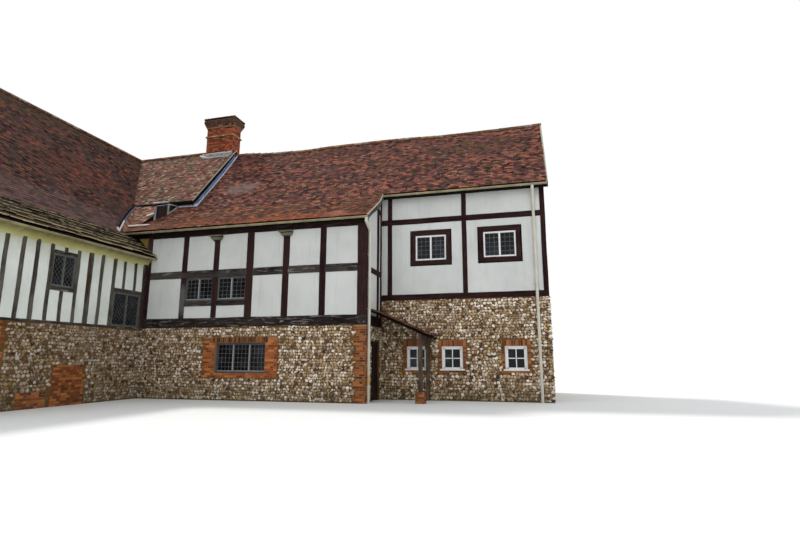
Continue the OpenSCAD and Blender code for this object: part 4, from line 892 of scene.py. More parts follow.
    def _timber(self) -> None:
        """Mixes the timbers."""
        # Near-black: the sunk decks under the tiles and slabs, and the sheets set where shade falls, are
        # painted shade.
        self.deck_and_shade = Oak("battens_and_painted_shade", (14, 10, 9), (26, 20, 18), silvered=0.0, by_object=True).make()
        self.oak = Oak("dark_oak", (20, 11, 12), (45, 24, 25), (78, 56, 52), 0.3, blots=(
            Blot((1.581, 0.0, 3.45), (0.35, 0.6, 0.72), (96, 94, 92), 0.95),)).make()
        self.oak_grey = Oak("silvered_oak", (22, 16, 15), (46, 38, 36), (92, 86, 82), 0.5, painted_shade_z=5.66,
                            streak=0.6, blots=(
                                Blot((4.2, 0.0, 2.6), (7.0, 0.8, 0.4), (30, 22, 20), 0.45),)).make()
        self.oak_wing = Oak("wing_oak", (30, 24, 21), (66, 60, 52), (110, 108, 98), 0.6, streak=0.15, blots=(
            Blot((0.0, 0.0, 3.5), (0.3, 0.28, 4.0), (44, 30, 28), 0.9),
            Blot((0.0, -2.55, 3.9), (0.3, 0.25, 1.1), (60, 34, 28), 0.75),
            Blot((0.0, -4.35, 3.9), (0.3, 0.25, 1.0), (46, 32, 26), 0.7),
            Blot((0.0, -3.2, 3.4), (0.3, 0.5, 0.35), (52, 38, 32)))).make()
        self.oak_plain = Oak("plain_oak", (26, 18, 17), (46, 34, 32), (80, 72, 68), by_object=True).make()
        self.oak_post = Oak("porch_oak", (58, 46, 38), (94, 80, 68), (132, 122, 110), 0.5,
                            by_object=True).make()
        self.oak_verge = Oak("verge_oak", (56, 52, 52), (84, 80, 80), (126, 122, 122), 0.5,
                             by_object=True).make()
        self.oak_moss = Oak("bracket_oak", (58, 58, 50), (98, 96, 84), (140, 138, 120), 0.5, 0.2, True).make()
        self.oak_corner = Oak("corner_oak", (46, 30, 30), (78, 56, 56), (104, 90, 90), by_object=True).make()
        self.boards = Oak("floor_boards", (92, 70, 50), (130, 104, 76), by_object=True).make()

    def _metal_and_paint(self) -> None:
        """Mixes lead, paint and glass."""
        self.lead = Lead("sheet_lead", (74, 84, 112), (112, 122, 152), (44, 50, 72)).make()
        self.lead_blue = Lead("verge_lead", (96, 112, 150), (138, 152, 186), (58, 68, 100)).make()
        self.lead_pale = Lead("pale_lead", (200, 202, 216), (226, 228, 234), (150, 156, 168)).make()
        self.lead_green = Lead("green_lead", (120, 125, 124), (158, 162, 158), (72, 80, 74)).make()
        self.cames = Lead("window_lead", (92, 93, 96), (122, 123, 125)).make()
        self.dim_cames = Lead("dim_window_lead", (66, 67, 70), (88, 90, 92)).make()
        self.gutter = OldPaint("cream_gutter_paint", (158, 149, 116), (92, 84, 52), (70, 56, 38), 0.75).make()
        self.pipe = OldPaint("pipe_paint", (206, 202, 190), (168, 160, 128), (120, 96, 70), 0.4, blots=(
            Blot((8.55, 0.2, 0.72), (0.4, 0.5, 0.22), (196, 158, 78), 0.9),)).make()
        self.frame = OldPaint("grey_window_wood", (84, 82, 82), (60, 56, 55), (50, 44, 40), 0.6).make()
        self.bead = OldPaint("pale_window_beads", (158, 158, 156), (118, 112, 106), (90, 82, 76)).make()
        self.frame_wing = OldPaint("dark_window_wood", (92, 92, 84), (62, 60, 54), (50, 44, 40), 0.6).make()
        self.iron = OldPaint("gutter_iron", (150, 140, 128), (96, 80, 66), (70, 56, 46), 0.6).make()
        self.white = OldPaint("white_window_paint", (232, 233, 232), (200, 200, 194), (150, 140, 124),
                              0.3, 0.74).make()
        self.glass = OldGlass("old_glass").make()


# Building


class Heap:
    """Gathers many small closed shapes into one piece, without slowing down as it grows."""

    def __init__(self, batch: int = 64, seed: int = 0, rng: random.Random | None = None) -> None:
        """Starts an empty heap that is emptied into its store after each batch of shapes."""
        self.whole = self._empty()
        self.batch, self.count = batch, 0
        self.rng = rng or random.Random(seed)
        self._start()

    @staticmethod
    def _empty() -> Mesh:
        """Gives an empty mesh whose points carry a tone and a lap."""
        mesh = bmesh.new()
        for name in ("tone", "lap"):
            mesh.verts.layers.float.new(name)
        return mesh

    def _start(self) -> None:
        """Starts a batch."""
        self.part = self._empty()
        self.tone, self.lap = (self.part.verts.layers.float[name] for name in ("tone", "lap"))

    def _next(self, verts: Sequence[Vert], tone: float, material: int) -> None:
        """Marks a new shape and stores the batch when it is full."""
        for vert in verts:
            vert[self.tone] = tone
        if material:
            for face in {face for vert in verts for face in vert.link_faces}:
                face.material_index = material
        self.count += 1
        if self.count % self.batch == 0:
            self.store()

    def _take(self, part: Mesh) -> None:
        """Moves a mesh into the whole."""
        mesh = bpy.data.meshes.new("batch")
        part.to_mesh(mesh)
        part.free()
        self.whole.from_mesh(mesh)
        bpy.data.meshes.remove(mesh)

    def store(self) -> None:
        """Moves the batch into the whole and starts the next one."""
        self._take(self.part)
        self._start()

    def piece(self, name: str, materials: Sequence[Material], slot: str, replaces: Sequence[str] = (),
              smooth: bool = False) -> None:
        """Makes a finished piece of the heap."""
        self.store()
        self.part.free()
        set_piece(self.whole, name, materials, slot, replaces, smooth)

    def block(self, place: Matrix, size: Sequence[float], tone: float = 0.5, material: int = 0) -> None:
        """Adds a block of a size at a place. Its lap runs from 0 to 1 along its own Y."""
        made = bmesh.ops.create_cube(self.part, size=1.0)
        for vert in made["verts"]:
            vert[self.lap] = vert.co.y + 0.5
        bmesh.ops.transform(self.part, matrix=place @ Matrix.Diagonal((*size, 1.0)), verts=made["verts"])
        self._next(made["verts"], tone, material)

    def sheet(self, at: Callable[[float, float], Vector], steps: tuple[int, int], thick: float,
              tone: float = 0.5, material: int = 0) -> None:
        """Adds a bent sheet.

        Args:
            at: Gives the point of the sheet for its two shares from 0 to 1.
            steps: Faces along and across.
            thick: Thickness, which is laid on below.
            tone: Its tone.
            material: Number of its finish.
        """
        made = bmesh.ops.create_grid(self.part, x_segments=steps[0], y_segments=steps[1], size=0.5)
        for vert in made["verts"]:
            vert.co = at(vert.co.x + 0.5, vert.co.y + 0.5)
        faces = list({face for vert in made["verts"] for face in vert.link_faces})
        for face in faces:
            face.normal_update()
        if sum(face.normal.z for face in faces) < 0:
            bmesh.ops.reverse_faces(self.part, faces=faces)
        solid = bmesh.ops.extrude_face_region(self.part, geom=faces, use_keep_orig=True)
        lower = [item for item in solid["geom"] if isinstance(item, Vert)]
        for vert in lower:
            vert.co -= vert.normal * thick if vert.normal.length > 0.5 else Vector((0, 0, thick))
        verts = [*made["verts"], *lower]
        around = list({face for vert in verts for face in vert.link_faces})
        bmesh.ops.recalc_face_normals(self.part, faces=around)
        self._next(verts, tone, material)

    def sunk_copy(self, node: str, sink: float, material: int) -> None:
        """Adds a copy of a CAD roof with its upper side sunk below what lies on it."""
        self.store()
        deck_and_shade = merged_copy(node)
        tops = {vert for face in deck_and_shade.faces if face.normal.z > 0.3 for vert in face.verts}
        bmesh.ops.translate(deck_and_shade, vec=(0, 0, -sink), verts=list(tops))
        for face in deck_and_shade.faces:
            face.material_index = material
        deck_and_shade.verts.layers.float.new("tone")
        self._take(deck_and_shade)

    def worn_block(self, place: Matrix, size: Sequence[float], tone: float, bevel: float, ragged: float = 0.0,
                   material: int = 0) -> None:
        """Adds a block with worn edges and, if wanted, ragged corners."""
        made = bmesh.ops.create_cube(self.part, size=1.0, matrix=Matrix.Diagonal((*size, 1.0)))
        if ragged > 0:
            for vert in made["verts"]:
                vert.co += Vector([self.rng.uniform(-ragged, ragged) for _ in range(3)])
        edges = list({edge for vert in made["verts"] for edge in vert.link_edges})
        cut = bmesh.ops.bevel(self.part, geom=edges, offset=bevel, offset_type="OFFSET", segments=1,
                              profile=0.5, affect="EDGES", material=-1, clamp_overlap=True)
        verts = list({vert for face in cut["faces"] for vert in face.verts})
        bmesh.ops.transform(self.part, matrix=place, verts=verts)
        self._next(verts, tone, material)

    def nodule(self, place: Matrix, size: Sequence[float], tone: float) -> None:
        """Adds a rough stone lump."""
        made = bmesh.ops.create_icosphere(self.part, subdivisions=1, radius=1.0)
        for vert in made["verts"]:
            vert.co *= self.rng.uniform(0.82, 1.14)
        bmesh.ops.transform(self.part, matrix=place @ Matrix.Diagonal((*size, 1.0)), verts=made["verts"])
        self._next(made["verts"], tone, 0)

    def bar(self, start: Sequence[float], end: Sequence[float], width: float, depth: float,
            out: Sequence[float], tone: float = 0.5, material: int = 0) -> None:
        """Adds a flat bar between two points, with its depth along a direction."""
        start, end = Vector(start), Vector(end)
        run = end - start
        along = run.normalized()
        side = Vector(out).cross(along).normalized()
        place = axes(along, side, along.cross(side), (start + end) / 2)
        self.block(place, (run.length, width, depth), tone, material)

    def shell_ring(self, place: Matrix, inner: float, outer: float, length: float, angle: float, steps: int,
                   tone: float = 0.5, material: int = 0) -> None:
        """Adds a bent wall: a part of a ring round the place's Z, from its X axis on, of a length along Z."""
        verts = [self.part.verts.new((radius, 0.0, 0.0)) for radius in (inner, outer)]
        edge = self.part.edges.new(verts)
        whole = abs(angle - 2 * math.pi) < 1e-6
        spun = bmesh.ops.spin(self.part, geom=[*verts, edge], cent=(0, 0, 0), axis=(0, 0, 1), angle=angle,
                              steps=steps, use_merge=whole)
        ring = {*verts, *(item for item in spun["geom_last"] if isinstance(item, Vert))}
        faces: set[bmesh.types.BMFace] = set()
        front = list(ring)
        while front:
            vert = front.pop()
            for face in vert.link_faces:
                if face not in faces:
                    faces.add(face)
                    front.extend(face.verts)
        solid = bmesh.ops.extrude_face_region(self.part, geom=list(faces), use_keep_orig=True)
        top = [item for item in solid["geom"] if isinstance(item, Vert)]
        bmesh.ops.translate(self.part, vec=(0, 0, length), verts=top)
        verts = list({vert for face in faces for vert in face.verts} | set(top))
        around = list({face for vert in verts for face in vert.link_faces})
        bmesh.ops.recalc_face_normals(self.part, faces=around)
        bmesh.ops.transform(self.part, matrix=place, verts=verts)
        self._next(verts, tone, material)


def set_piece(mesh: Mesh, name: str, materials: Sequence[Material], slot: str,
              replaces: Sequence[str] = (), smooth: bool = False) -> None:
    """Makes a finished piece of a mesh and tells the frame about it.

    Args:
        mesh: The piece's mesh, in the house's axes. It is freed.
        name: The piece's name.
        materials: Its materials, in the order of its faces' numbers.
        slot: The record's slot for its finish; not used.
        replaces: CAD nodes that it stands for.
        smooth: Whether its faces are shaded smooth.
    """
    for face in mesh.faces:
        face.smooth = smooth
    made = add_object(mesh, name, materials)
    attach(made, "root")
    if replaces:
        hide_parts(*replaces)
    LOG.info("%s: %d triangles", name, sum(len(polygon.vertices) - 2 for polygon in made.data.polygons))


def add_object(mesh: Mesh, name: str, materials: Sequence[Material]) -> bpy.types.Object:
    """Adds an object with a mesh, which is freed, and its materials."""
    data = bpy.data.meshes.new(name)
    mesh.to_mesh(data)
    mesh.free()
    for material in materials:
        data.materials.append(material)
    made = bpy.data.objects.new(name, data)
    bpy.context.scene.collection.objects.link(made)
    return made


def merged_copy(node: str) -> Mesh:
    """Gives a clean copy of a CAD node's mesh: joined, and without the lines across flat faces.

    Args:
        node: The node's name.

    Returns:
        The copy.
    """
    mesh = bmesh.new()
    mesh.from_mesh(FRAME["nodes"][node].data)
    for layer in list(mesh.verts.layers.float):
        mesh.verts.layers.float.remove(layer)
    bmesh.ops.remove_doubles(mesh, verts=mesh.verts, dist=1e-4)
    bmesh.ops.dissolve_limit(mesh, angle_limit=math.radians(0.5), verts=mesh.verts, edges=mesh.edges)
    return mesh


def islands(mesh: Mesh) -> Iterator[list[Vert]]:
    """Gives the points of each solid of a mesh in turn."""
    seen: set[Vert] = set()
    for start in mesh.verts:
        if start in seen:
            continue
        group, front = [], [start]
        seen.add(start)
        while front:
            vert = front.pop()
            group.append(vert)
            for edge in vert.link_edges:
                other = edge.other_vert(vert)
                if other not in seen:
                    seen.add(other)
                    front.append(other)
        yield group


def slice_mesh(mesh: Mesh, axis: int, step: float) -> None:
    """Cuts a mesh into slices across one axis, so that it can be bent."""
    low = min(vert.co[axis] for vert in mesh.verts)
    high = max(vert.co[axis] for vert in mesh.verts)
    normal = Vector([1.0 if i == axis else 0.0 for i in range(3)])
    for i in range(1, max(1, math.ceil((high - low) / step))):
        at = normal * (low + i * step)
        if low + i * step > high - 0.02:
            break
        bmesh.ops.bisect_plane(mesh, geom=[*mesh.verts, *mesh.edges, *mesh.faces], dist=1e-4,
                               plane_co=at, plane_no=normal)


# Timber and plaster


@dataclass(frozen=True)
class HewnFrame:
    """A CAD frame of straight timbers, copied and hewn: worn arrises, wavering edges and a grain.

    Timbers inside one of the level bands run level, and the others stand upright.
    """

    node: str
    name: str
    bands: tuple[Span, ...] = ()
    waver: float = 0.014
    arris: float = 0.008
    step: float = 0.16
    seed: float = 0.0
    swell: float = 0.0
    swell_run: Span = (0.5, 8.2)
    beams: tuple[tuple[float, ...], ...] = ()

    def hew(self, finish: Material) -> None:
        """Makes the hewn piece."""
        mesh = merged_copy(self.node)
        for x0, x1, y0, y1, z0, z1 in self.beams:
            size = Matrix.Diagonal((x1 - x0, y1 - y0, z1 - z0, 1.0))
            middle = Matrix.Translation(((x0 + x1) / 2, (y0 + y1) / 2, (z0 + z1) / 2))
            bmesh.ops.create_cube(mesh, size=1.0, matrix=middle @ size)
        sharp = [edge for edge in mesh.edges if len(edge.link_faces) == 2 and edge.is_convex
                 and edge.calc_face_angle(0.0) > 1.0 and edge.calc_length() > 0.06]
        bmesh.ops.bevel(mesh, geom=sharp, offset=self.arris, offset_type="OFFSET", segments=1, profile=0.5,
                        affect="EDGES", material=-1, clamp_overlap=True)
        for axis in range(3):
            slice_mesh(mesh, axis, self.step)
        tone = mesh.verts.layers.float.new("tone")
        rng = random.Random(int(self.seed * 10) + 3)
        for group in islands(mesh):
            value = rng.random()
            low, high = min(vert.co.x for vert in group), max(vert.co.x for vert in group)
            middle, wide = (low + high) / 2, high - low
            more = self.swell / wide if self.swell_run[0] < middle < self.swell_run[1] else 0.0
            for vert in group:
                vert[tone] = value
                vert.co.x += (vert.co.x - middle) * more
        grain = mesh.loops.layers.uv.new("grain")
        for face in mesh.faces:
            self._lay_grain(face, grain, tone)
        shift = Vector((self.seed, 0.0, -self.seed))
        for vert in mesh.verts:
            slow = noise.noise_vector(vert.co * 0.9 + shift)
            quick = noise.noise_vector(vert.co * 4.0 + shift)
            vert.co += (slow * 0.75 + quick * 0.25) * self.waver
        set_piece(mesh, self.name, [finish], self.node, (self.node,))

    def _lay_grain(self, face: bmesh.types.BMFace, grain: bmesh.types.BMLayerItem,
                   tone: bmesh.types.BMLayerItem) -> None:
        """Writes a face's place along and across the grain."""
        centre = face.calc_center_median()
        level = any(low <= centre.z <= high for low, high in self.bands)
        normal = face.normal
        if level:
            along = UP.cross(normal)
            along = along.normalized() if along.length > 0.3 else EAST
        else:
            along = UP if abs(normal.z) < 0.7 else EAST
        across = normal.cross(along)
        shift = face.verts[0][tone] * 7.0
        for loop in face.loops:
            point = loop.vert.co
            loop[grain].uv = (point.dot(along) + shift, point.dot(across) + shift)


@dataclass(frozen=True)
class PlasterPanels:
    """CAD panels, each run on a little behind its timbers and laid slightly uneven."""

    node: str
    name: str
    lap: float = 0.035
    swell: float = 0.004

    def lay(self, finish: Material) -> None:
        """Makes the laid piece."""
        mesh = merged_copy(self.node)
        for group in islands(mesh):
            low = Vector([min(vert.co[i] for vert in group) for i in range(3)])
            high = Vector([max(vert.co[i] for vert in group) for i in range(3)])
            size = high - low
            thin = min(range(3), key=lambda i: size[i])
            middle = (low + high) / 2
            for vert in group:
                for i in range(3):
                    if i != thin:
                        vert.co[i] += self.lap if vert.co[i] > middle[i] else -self.lap
        for axis in range(3):
            slice_mesh(mesh, axis, 0.35)
        for vert in mesh.verts:
            vert.co += noise.noise_vector(vert.co * 1.4) * self.swell
        set_piece(mesh, self.name, [finish], self.node, (self.node,))


# Roofs


@dataclass
class TiledSlope:
    """A slope of plain clay tiles in courses, over a sunk copy of its CAD roof.

    The profile is the slope's line from eave to ridge: distance across the courses, and height. Where
    a course's ends aren't the run's, they are given for its distance up the slope.
    """

    node: str
    profile: Sequence[Span]
    run: Span
    courses_along_x: bool = True
    hidden: Callable[[Vector], bool] = lambda point: False
    ends: Callable[[float], Span] | None = None
    gauge: float = 0.1
    tile_w: float = 0.165
    thick: float = 0.014
    sink: float = 0.05
    seed: int = 1
    sag: Callable[[Vector], float] = lambda point: 0.0

    def _at(self, along: float, reach: float) -> Vector:
        """Gives the point on the slope at a place along the courses and a distance up it."""
        left = reach
        for (p0, z0), (p1, z1) in zip(self.profile, self.profile[1:]):
            length = math.hypot(p1 - p0, z1 - z0)
            if left <= length or (p1, z1) == tuple(self.profile[-1]):
                share = left / length
                p, z = p0 + (p1 - p0) * share, z0 + (z1 - z0) * share
                break
            left -= length
        return Vector((along, p, z)) if self.courses_along_x else Vector((p, along, z))

    @property
    def reach(self) -> float:
        """The slope's length from eave to ridge."""
        return sum(math.hypot(b[0] - a[0], b[1] - a[1]) for a, b in zip(self.profile, self.profile[1:]))

    def lay(self, finish: Material, deck_and_shade: Material) -> None:
        """Lays the courses over the sunk roof, for which the piece stands; the sunk roof's near-black finish is
        painted shade in the gaps between the tiles.

        Args:
            finish: The tiles' finish.
            deck_and_shade: The finish of the sunk roof below them.
        """
        heap = Heap(seed=self.seed)
        count = round(self.reach / self.gauge)
        gauge = self.reach / count
        for i in range(count):
            self._course(heap, i, gauge, self.ends(i * gauge) if self.ends else self.run)
        heap.sunk_copy(self.node, self.sink, 1)
        heap.piece(f"{self.node}_tiles", [finish, deck_and_shade], self.node, (self.node,))

    def _course(self, heap: Heap, index: int, gauge: float, run: Span) -> None:
        """Lays one course of tiles."""
        (start, end), low, rng = run, index * gauge, heap.rng
        count = max(1, round((end - start) / self.tile_w))
        width = (end - start) / count
        cuts = [start + width * (k + (0.5 if index % 2 else 0.0)) for k in range(-1, count + 1)]
        cuts = [min(max(cut, start), end) for cut in cuts]
        for left, right in zip(cuts, cuts[1:]):
            if right - left < 0.03:
                continue
            middle = (left + right) / 2
            slip = rng.uniform(-0.004, 0.003)
            tail = self._at(middle, low + slip - (0.02 if rng.random() < 0.006 else 0.0))
            head = self._at(middle, min(low + gauge * 1.45, self.reach))
            if not self.hidden(tail):
                self._tile(heap, tail, head, right - left)

    def _tile(self, heap: Heap, tail: Vector, head: Vector, width: float) -> None:
        """Lays one tile between its tail and its head."""
        along, rng = EAST if self.courses_along_x else Vector((0, 1, 0)), heap.rng
        up = (head - tail).normalized()
        normal = along.cross(up)
        if normal.z < 0:
            along, normal = -along, -normal
        heave = noise.noise(tail * 0.33) * 0.016 + noise.noise(tail * 1.4) * 0.007 + 0.008
        drop = Vector((0, 0, -self.sag(tail)))
        tail = tail + drop + normal * (0.006 + heave + rng.uniform(-0.002, 0.006))
        head = head + drop + normal * (-0.011 + heave)
        up = (head - tail).normalized()
        along = (along + normal * rng.uniform(-0.012, 0.012) + up * rng.uniform(-0.012, 0.012)).normalized()
        place = axes(along, up, along.cross(up).normalized(), (tail + head) / 2)
        heap.block(place, (width - rng.uniform(0.002, 0.007), (head - tail).length, self.thick), rng.random())


@dataclass(frozen=True)
class Settling:
    """How far the main ridge has settled below its true line, from place to place along it."""

    lines: Lines = LINES
    sags: tuple[Span, ...] = ((0.0, -0.12), (0.6, -0.12), (1.2, -0.11), (2.2, -0.01), (3.2, 0.02), (4.2, 0.05),
                              (5.4, 0.0), (7.6, 0.0), (8.9, 0.02), (10.3, 0.08), (12.0, 0.08), (14.5, 0.04))

    def drop(self, point: Vector) -> float:
        """Gives how far the main roof lies below its true line at a point. It fades towards the eave."""
        up = max(0.0, (point.z - self.lines.main_eave_z) / (self.lines.main_ridge_z - self.lines.main_eave_z))
        for (x0, low), (x1, high) in zip(self.sags, self.sags[1:]):
            if x0 <= point.x <= x1:
                sag = low + (high - low) * (point.x - x0) / (x1 - x0)
                return sag * min(1.0, up) ** (1.5 if sag > 0 else 4.0)
        return 0.0


SETTLING = Settling()


@dataclass
class Roofs:
    """All the roofs: tiled slopes, ridges and verges."""

    lines: Lines = LINES
    bury: float = 0.16
    low_run: Span = (-2.4, -0.75)

    def _under_wing(self, point: Vector) -> bool:
        """Tells whether a point lies well below the wing's roof."""
        return self.lines.wing_top(point.x) > point.z + self.bury

    def _in_stack(self, point: Vector) -> bool:
        """Tells whether a point lies inside the chimney."""
        x0, x1, y0, y1 = self.lines.stack
        return x0 + 0.06 < point.x < x1 - 0.06 and y0 + 0.06 < point.y < y1 - 0.06

    def _under_raised(self, point: Vector) -> bool:
        """Tells whether a point on the main roof lies inside the raised roof."""
        y = min(point.y, 2 * self.lines.ridge_y - point.y)
        return point.x < self.lines.raised_x - 0.14 and y > self.lines.step_y + 0.1

    def _outshot_hidden(self, point: Vector) -> bool:
        """Tells whether a point of the outshot roof is hidden."""
        low = point.x < -0.98 and point.y > self.lines.low_y + 0.1
        return self._under_wing(point) or low

    def _main_hidden(self, point: Vector) -> bool:
        """Tells whether a point of the main roof is hidden."""
        return self._under_wing(point) or self._under_raised(point) or self._in_stack(point)

    def _raised_hidden(self, point: Vector) -> bool:
        """Tells whether a point of the raised roof is hidden."""
        return self._under_wing(point) or self._in_stack(point)

    def _wing_hidden(self, point: Vector) -> bool:
        """Tells whether a point of the wing's roof lies inside the range."""
        return self.lines.range_top(point.x, point.y) > point.z + self.bury

    def _flip(self, profile: Sequence[Span]) -> list[Span]:
        """Turns a front profile into the rear one."""
        return [(2 * self.lines.ridge_y - y, z) for y, z in profile]

    def build(self, shelf: Shelf) -> None:
        """Lays every roof."""
        line = self.lines
        main = [(line.main_eave_y, line.main_eave_z), (line.ridge_y, line.main_ridge_z)]
        raised = [(line.raised_eave_y, line.main_top(line.raised_eave_y) + line.raise_h),
                  (line.ridge_y, line.main_ridge_z + line.raise_h)]
        low = [(line.low_y, line.outshot_top(line.low_y)), (line.step_y, line.low_top(line.step_y))]
        wing = [(-0.85, 5.925), (-1.10, 6.10), (line.wing_ridge_x, line.wing_ridge_z)]
        west = [(-line.wing_w - x, z) for x, z in wing]
        porch = [(line.outshot_l + 1.99, 2.12), (line.outshot_l, 2.12 + line.porch_slope * 1.99)]
        long_run, short_run = (-4.9, line.east_verge_x), (-4.9, line.raised_x)
        wing_run = (line.wing_y0, line.wing_y1)
        slopes = (
            (TiledSlope("outshot_roof", line.bell, (-1.3, line.verge_x), hidden=self._outshot_hidden, seed=11),
             shelf.tiles_outshot),
            (TiledSlope("main_roof_front", main, long_run, hidden=self._main_hidden, seed=12, sink=0.13,
                        sag=SETTLING.drop), shelf.tiles_main),
            (TiledSlope("main_roof_rear", self._flip(main), long_run, hidden=self._main_hidden, seed=13,
                        sink=0.13, sag=SETTLING.drop), shelf.tiles_main),
            (TiledSlope("raised_roof_front", raised, short_run, hidden=self._raised_hidden, seed=14, sink=0.04),
             shelf.tiles_raised),
            (TiledSlope("raised_roof_rear", self._flip(raised), short_run, hidden=self._raised_hidden, seed=15,
                        sink=0.04), shelf.tiles_raised),
            (TiledSlope("valley_roof", low, self.low_run, hidden=self._under_wing, ends=self._low_ends, seed=16,
                        sink=0.0), shelf.tiles_valley),
            (TiledSlope("wing_roof_east", wing, wing_run, False, self._wing_hidden, seed=17), shelf.tiles_wing),
            (TiledSlope("wing_roof_west", west, wing_run, False, seed=18), shelf.tiles_wing),
            (TiledSlope("porch_roof", porch, (0.4, line.outshot_d), False, seed=19), shelf.tiles_outshot))
        for slope, finish in slopes:
            slope.lay(finish, shelf.deck_and_shade)

    def _low_ends(self, reach: float) -> Span:
        """Gives the ends of a course of the low slope beside the valley."""
        share = min(1.0, reach * 0.7 / 0.63)
        return (self.low_run[0], -0.9 + 0.15 * share)

    def ridges(self, shelf: Shelf) -> None:
        """Lays the half round ridge tiles, each bedded in mortar."""
        line, heap = self.lines, Heap(24, seed=21)
        top, over = line.main_ridge_z, 0.03
        raised = Vector((0, 0, line.raise_h))
        self._ridge_run(heap, Vector((line.raised_x, line.ridge_y, top)),
                        Vector((line.east_verge_x + over, line.ridge_y, top)))
        self._ridge_run(heap, Vector((line.wing_ridge_x, line.ridge_y, top)) + raised,
                        Vector((line.stack[0], line.ridge_y, top)) + raised)
        self._ridge_run(heap, Vector((line.wing_ridge_x, line.wing_y0 - over, line.wing_ridge_z)),
                        Vector((line.wing_ridge_x, line.wing_y1 + over, line.wing_ridge_z)))
        heap.piece("laid_ridge_tiles", [shelf.ridge, shelf.pale_mortar], "ridge_tiles", ("ridge_tiles",), True)

    @staticmethod
    def _ridge_run(heap: Heap, start: Vector, end: Vector) -> None:
        """Lays one line of ridge tiles between two points."""
        run, rng = end - start, heap.rng
        count = round(run.length / 0.33)
        along, length = run.normalized(), run.length / count
        side = UP.cross(along)
        for i in range(count):
            middle = start + run * ((i + 0.5) / count)
            drop = SETTLING.drop(middle) if abs(along.x) > 0.5 and start.x > 0 else 0.0
            tilt = Vector((0, 0, rng.uniform(-0.008, 0.008)))
            forward = (along + tilt).normalized()
            low = middle - along * (length / 2) + Vector((0, 0, -0.062 - drop + rng.uniform(-0.004, 0.002)))
            place = axes(side, forward.cross(side).normalized(), forward, low)
            tile_l = length - rng.uniform(0.003, 0.008)
            heap.shell_ring(place, 0.108, 0.124, tile_l, math.pi, 10, rng.random())
            heap.shell_ring(place, 0.07, 0.106, length, math.pi, 6, 0.5, 1)

    def verges(self, shelf: Shelf) -> None:
        """Lays the mortar under the tiles' ends along the verges."""
        line, heap, width = self.lines, Heap(24), 0.05
        for (y0, z0), (y1, z1) in zip(line.bell, line.bell[1:]):
            heap.bar((8.618, y0, z0 - 0.012), (8.618, y1, z1 - 0.012), width, 0.042, UP)
        for mirror in (False, True):
            foot_y = 2 * line.ridge_y - line.main_eave_y if mirror else line.main_eave_y
            heap.bar((14.358, foot_y, line.main_eave_z - 0.015),
                     (14.358, line.ridge_y, line.main_ridge_z - 0.015), width, 0.04, UP)
            foot_x = 1.05 - line.wing_w if mirror else -1.05
            for y in (line.wing_y0 + 0.005, line.wing_y1 - 0.005):
                heap.bar((foot_x, y, 5.99), (line.wing_ridge_x, y, line.wing_ridge_z - 0.015), width, 0.04, UP)
        heap.piece("verge_mortar", [shelf.pale_mortar], "ridge_tiles")


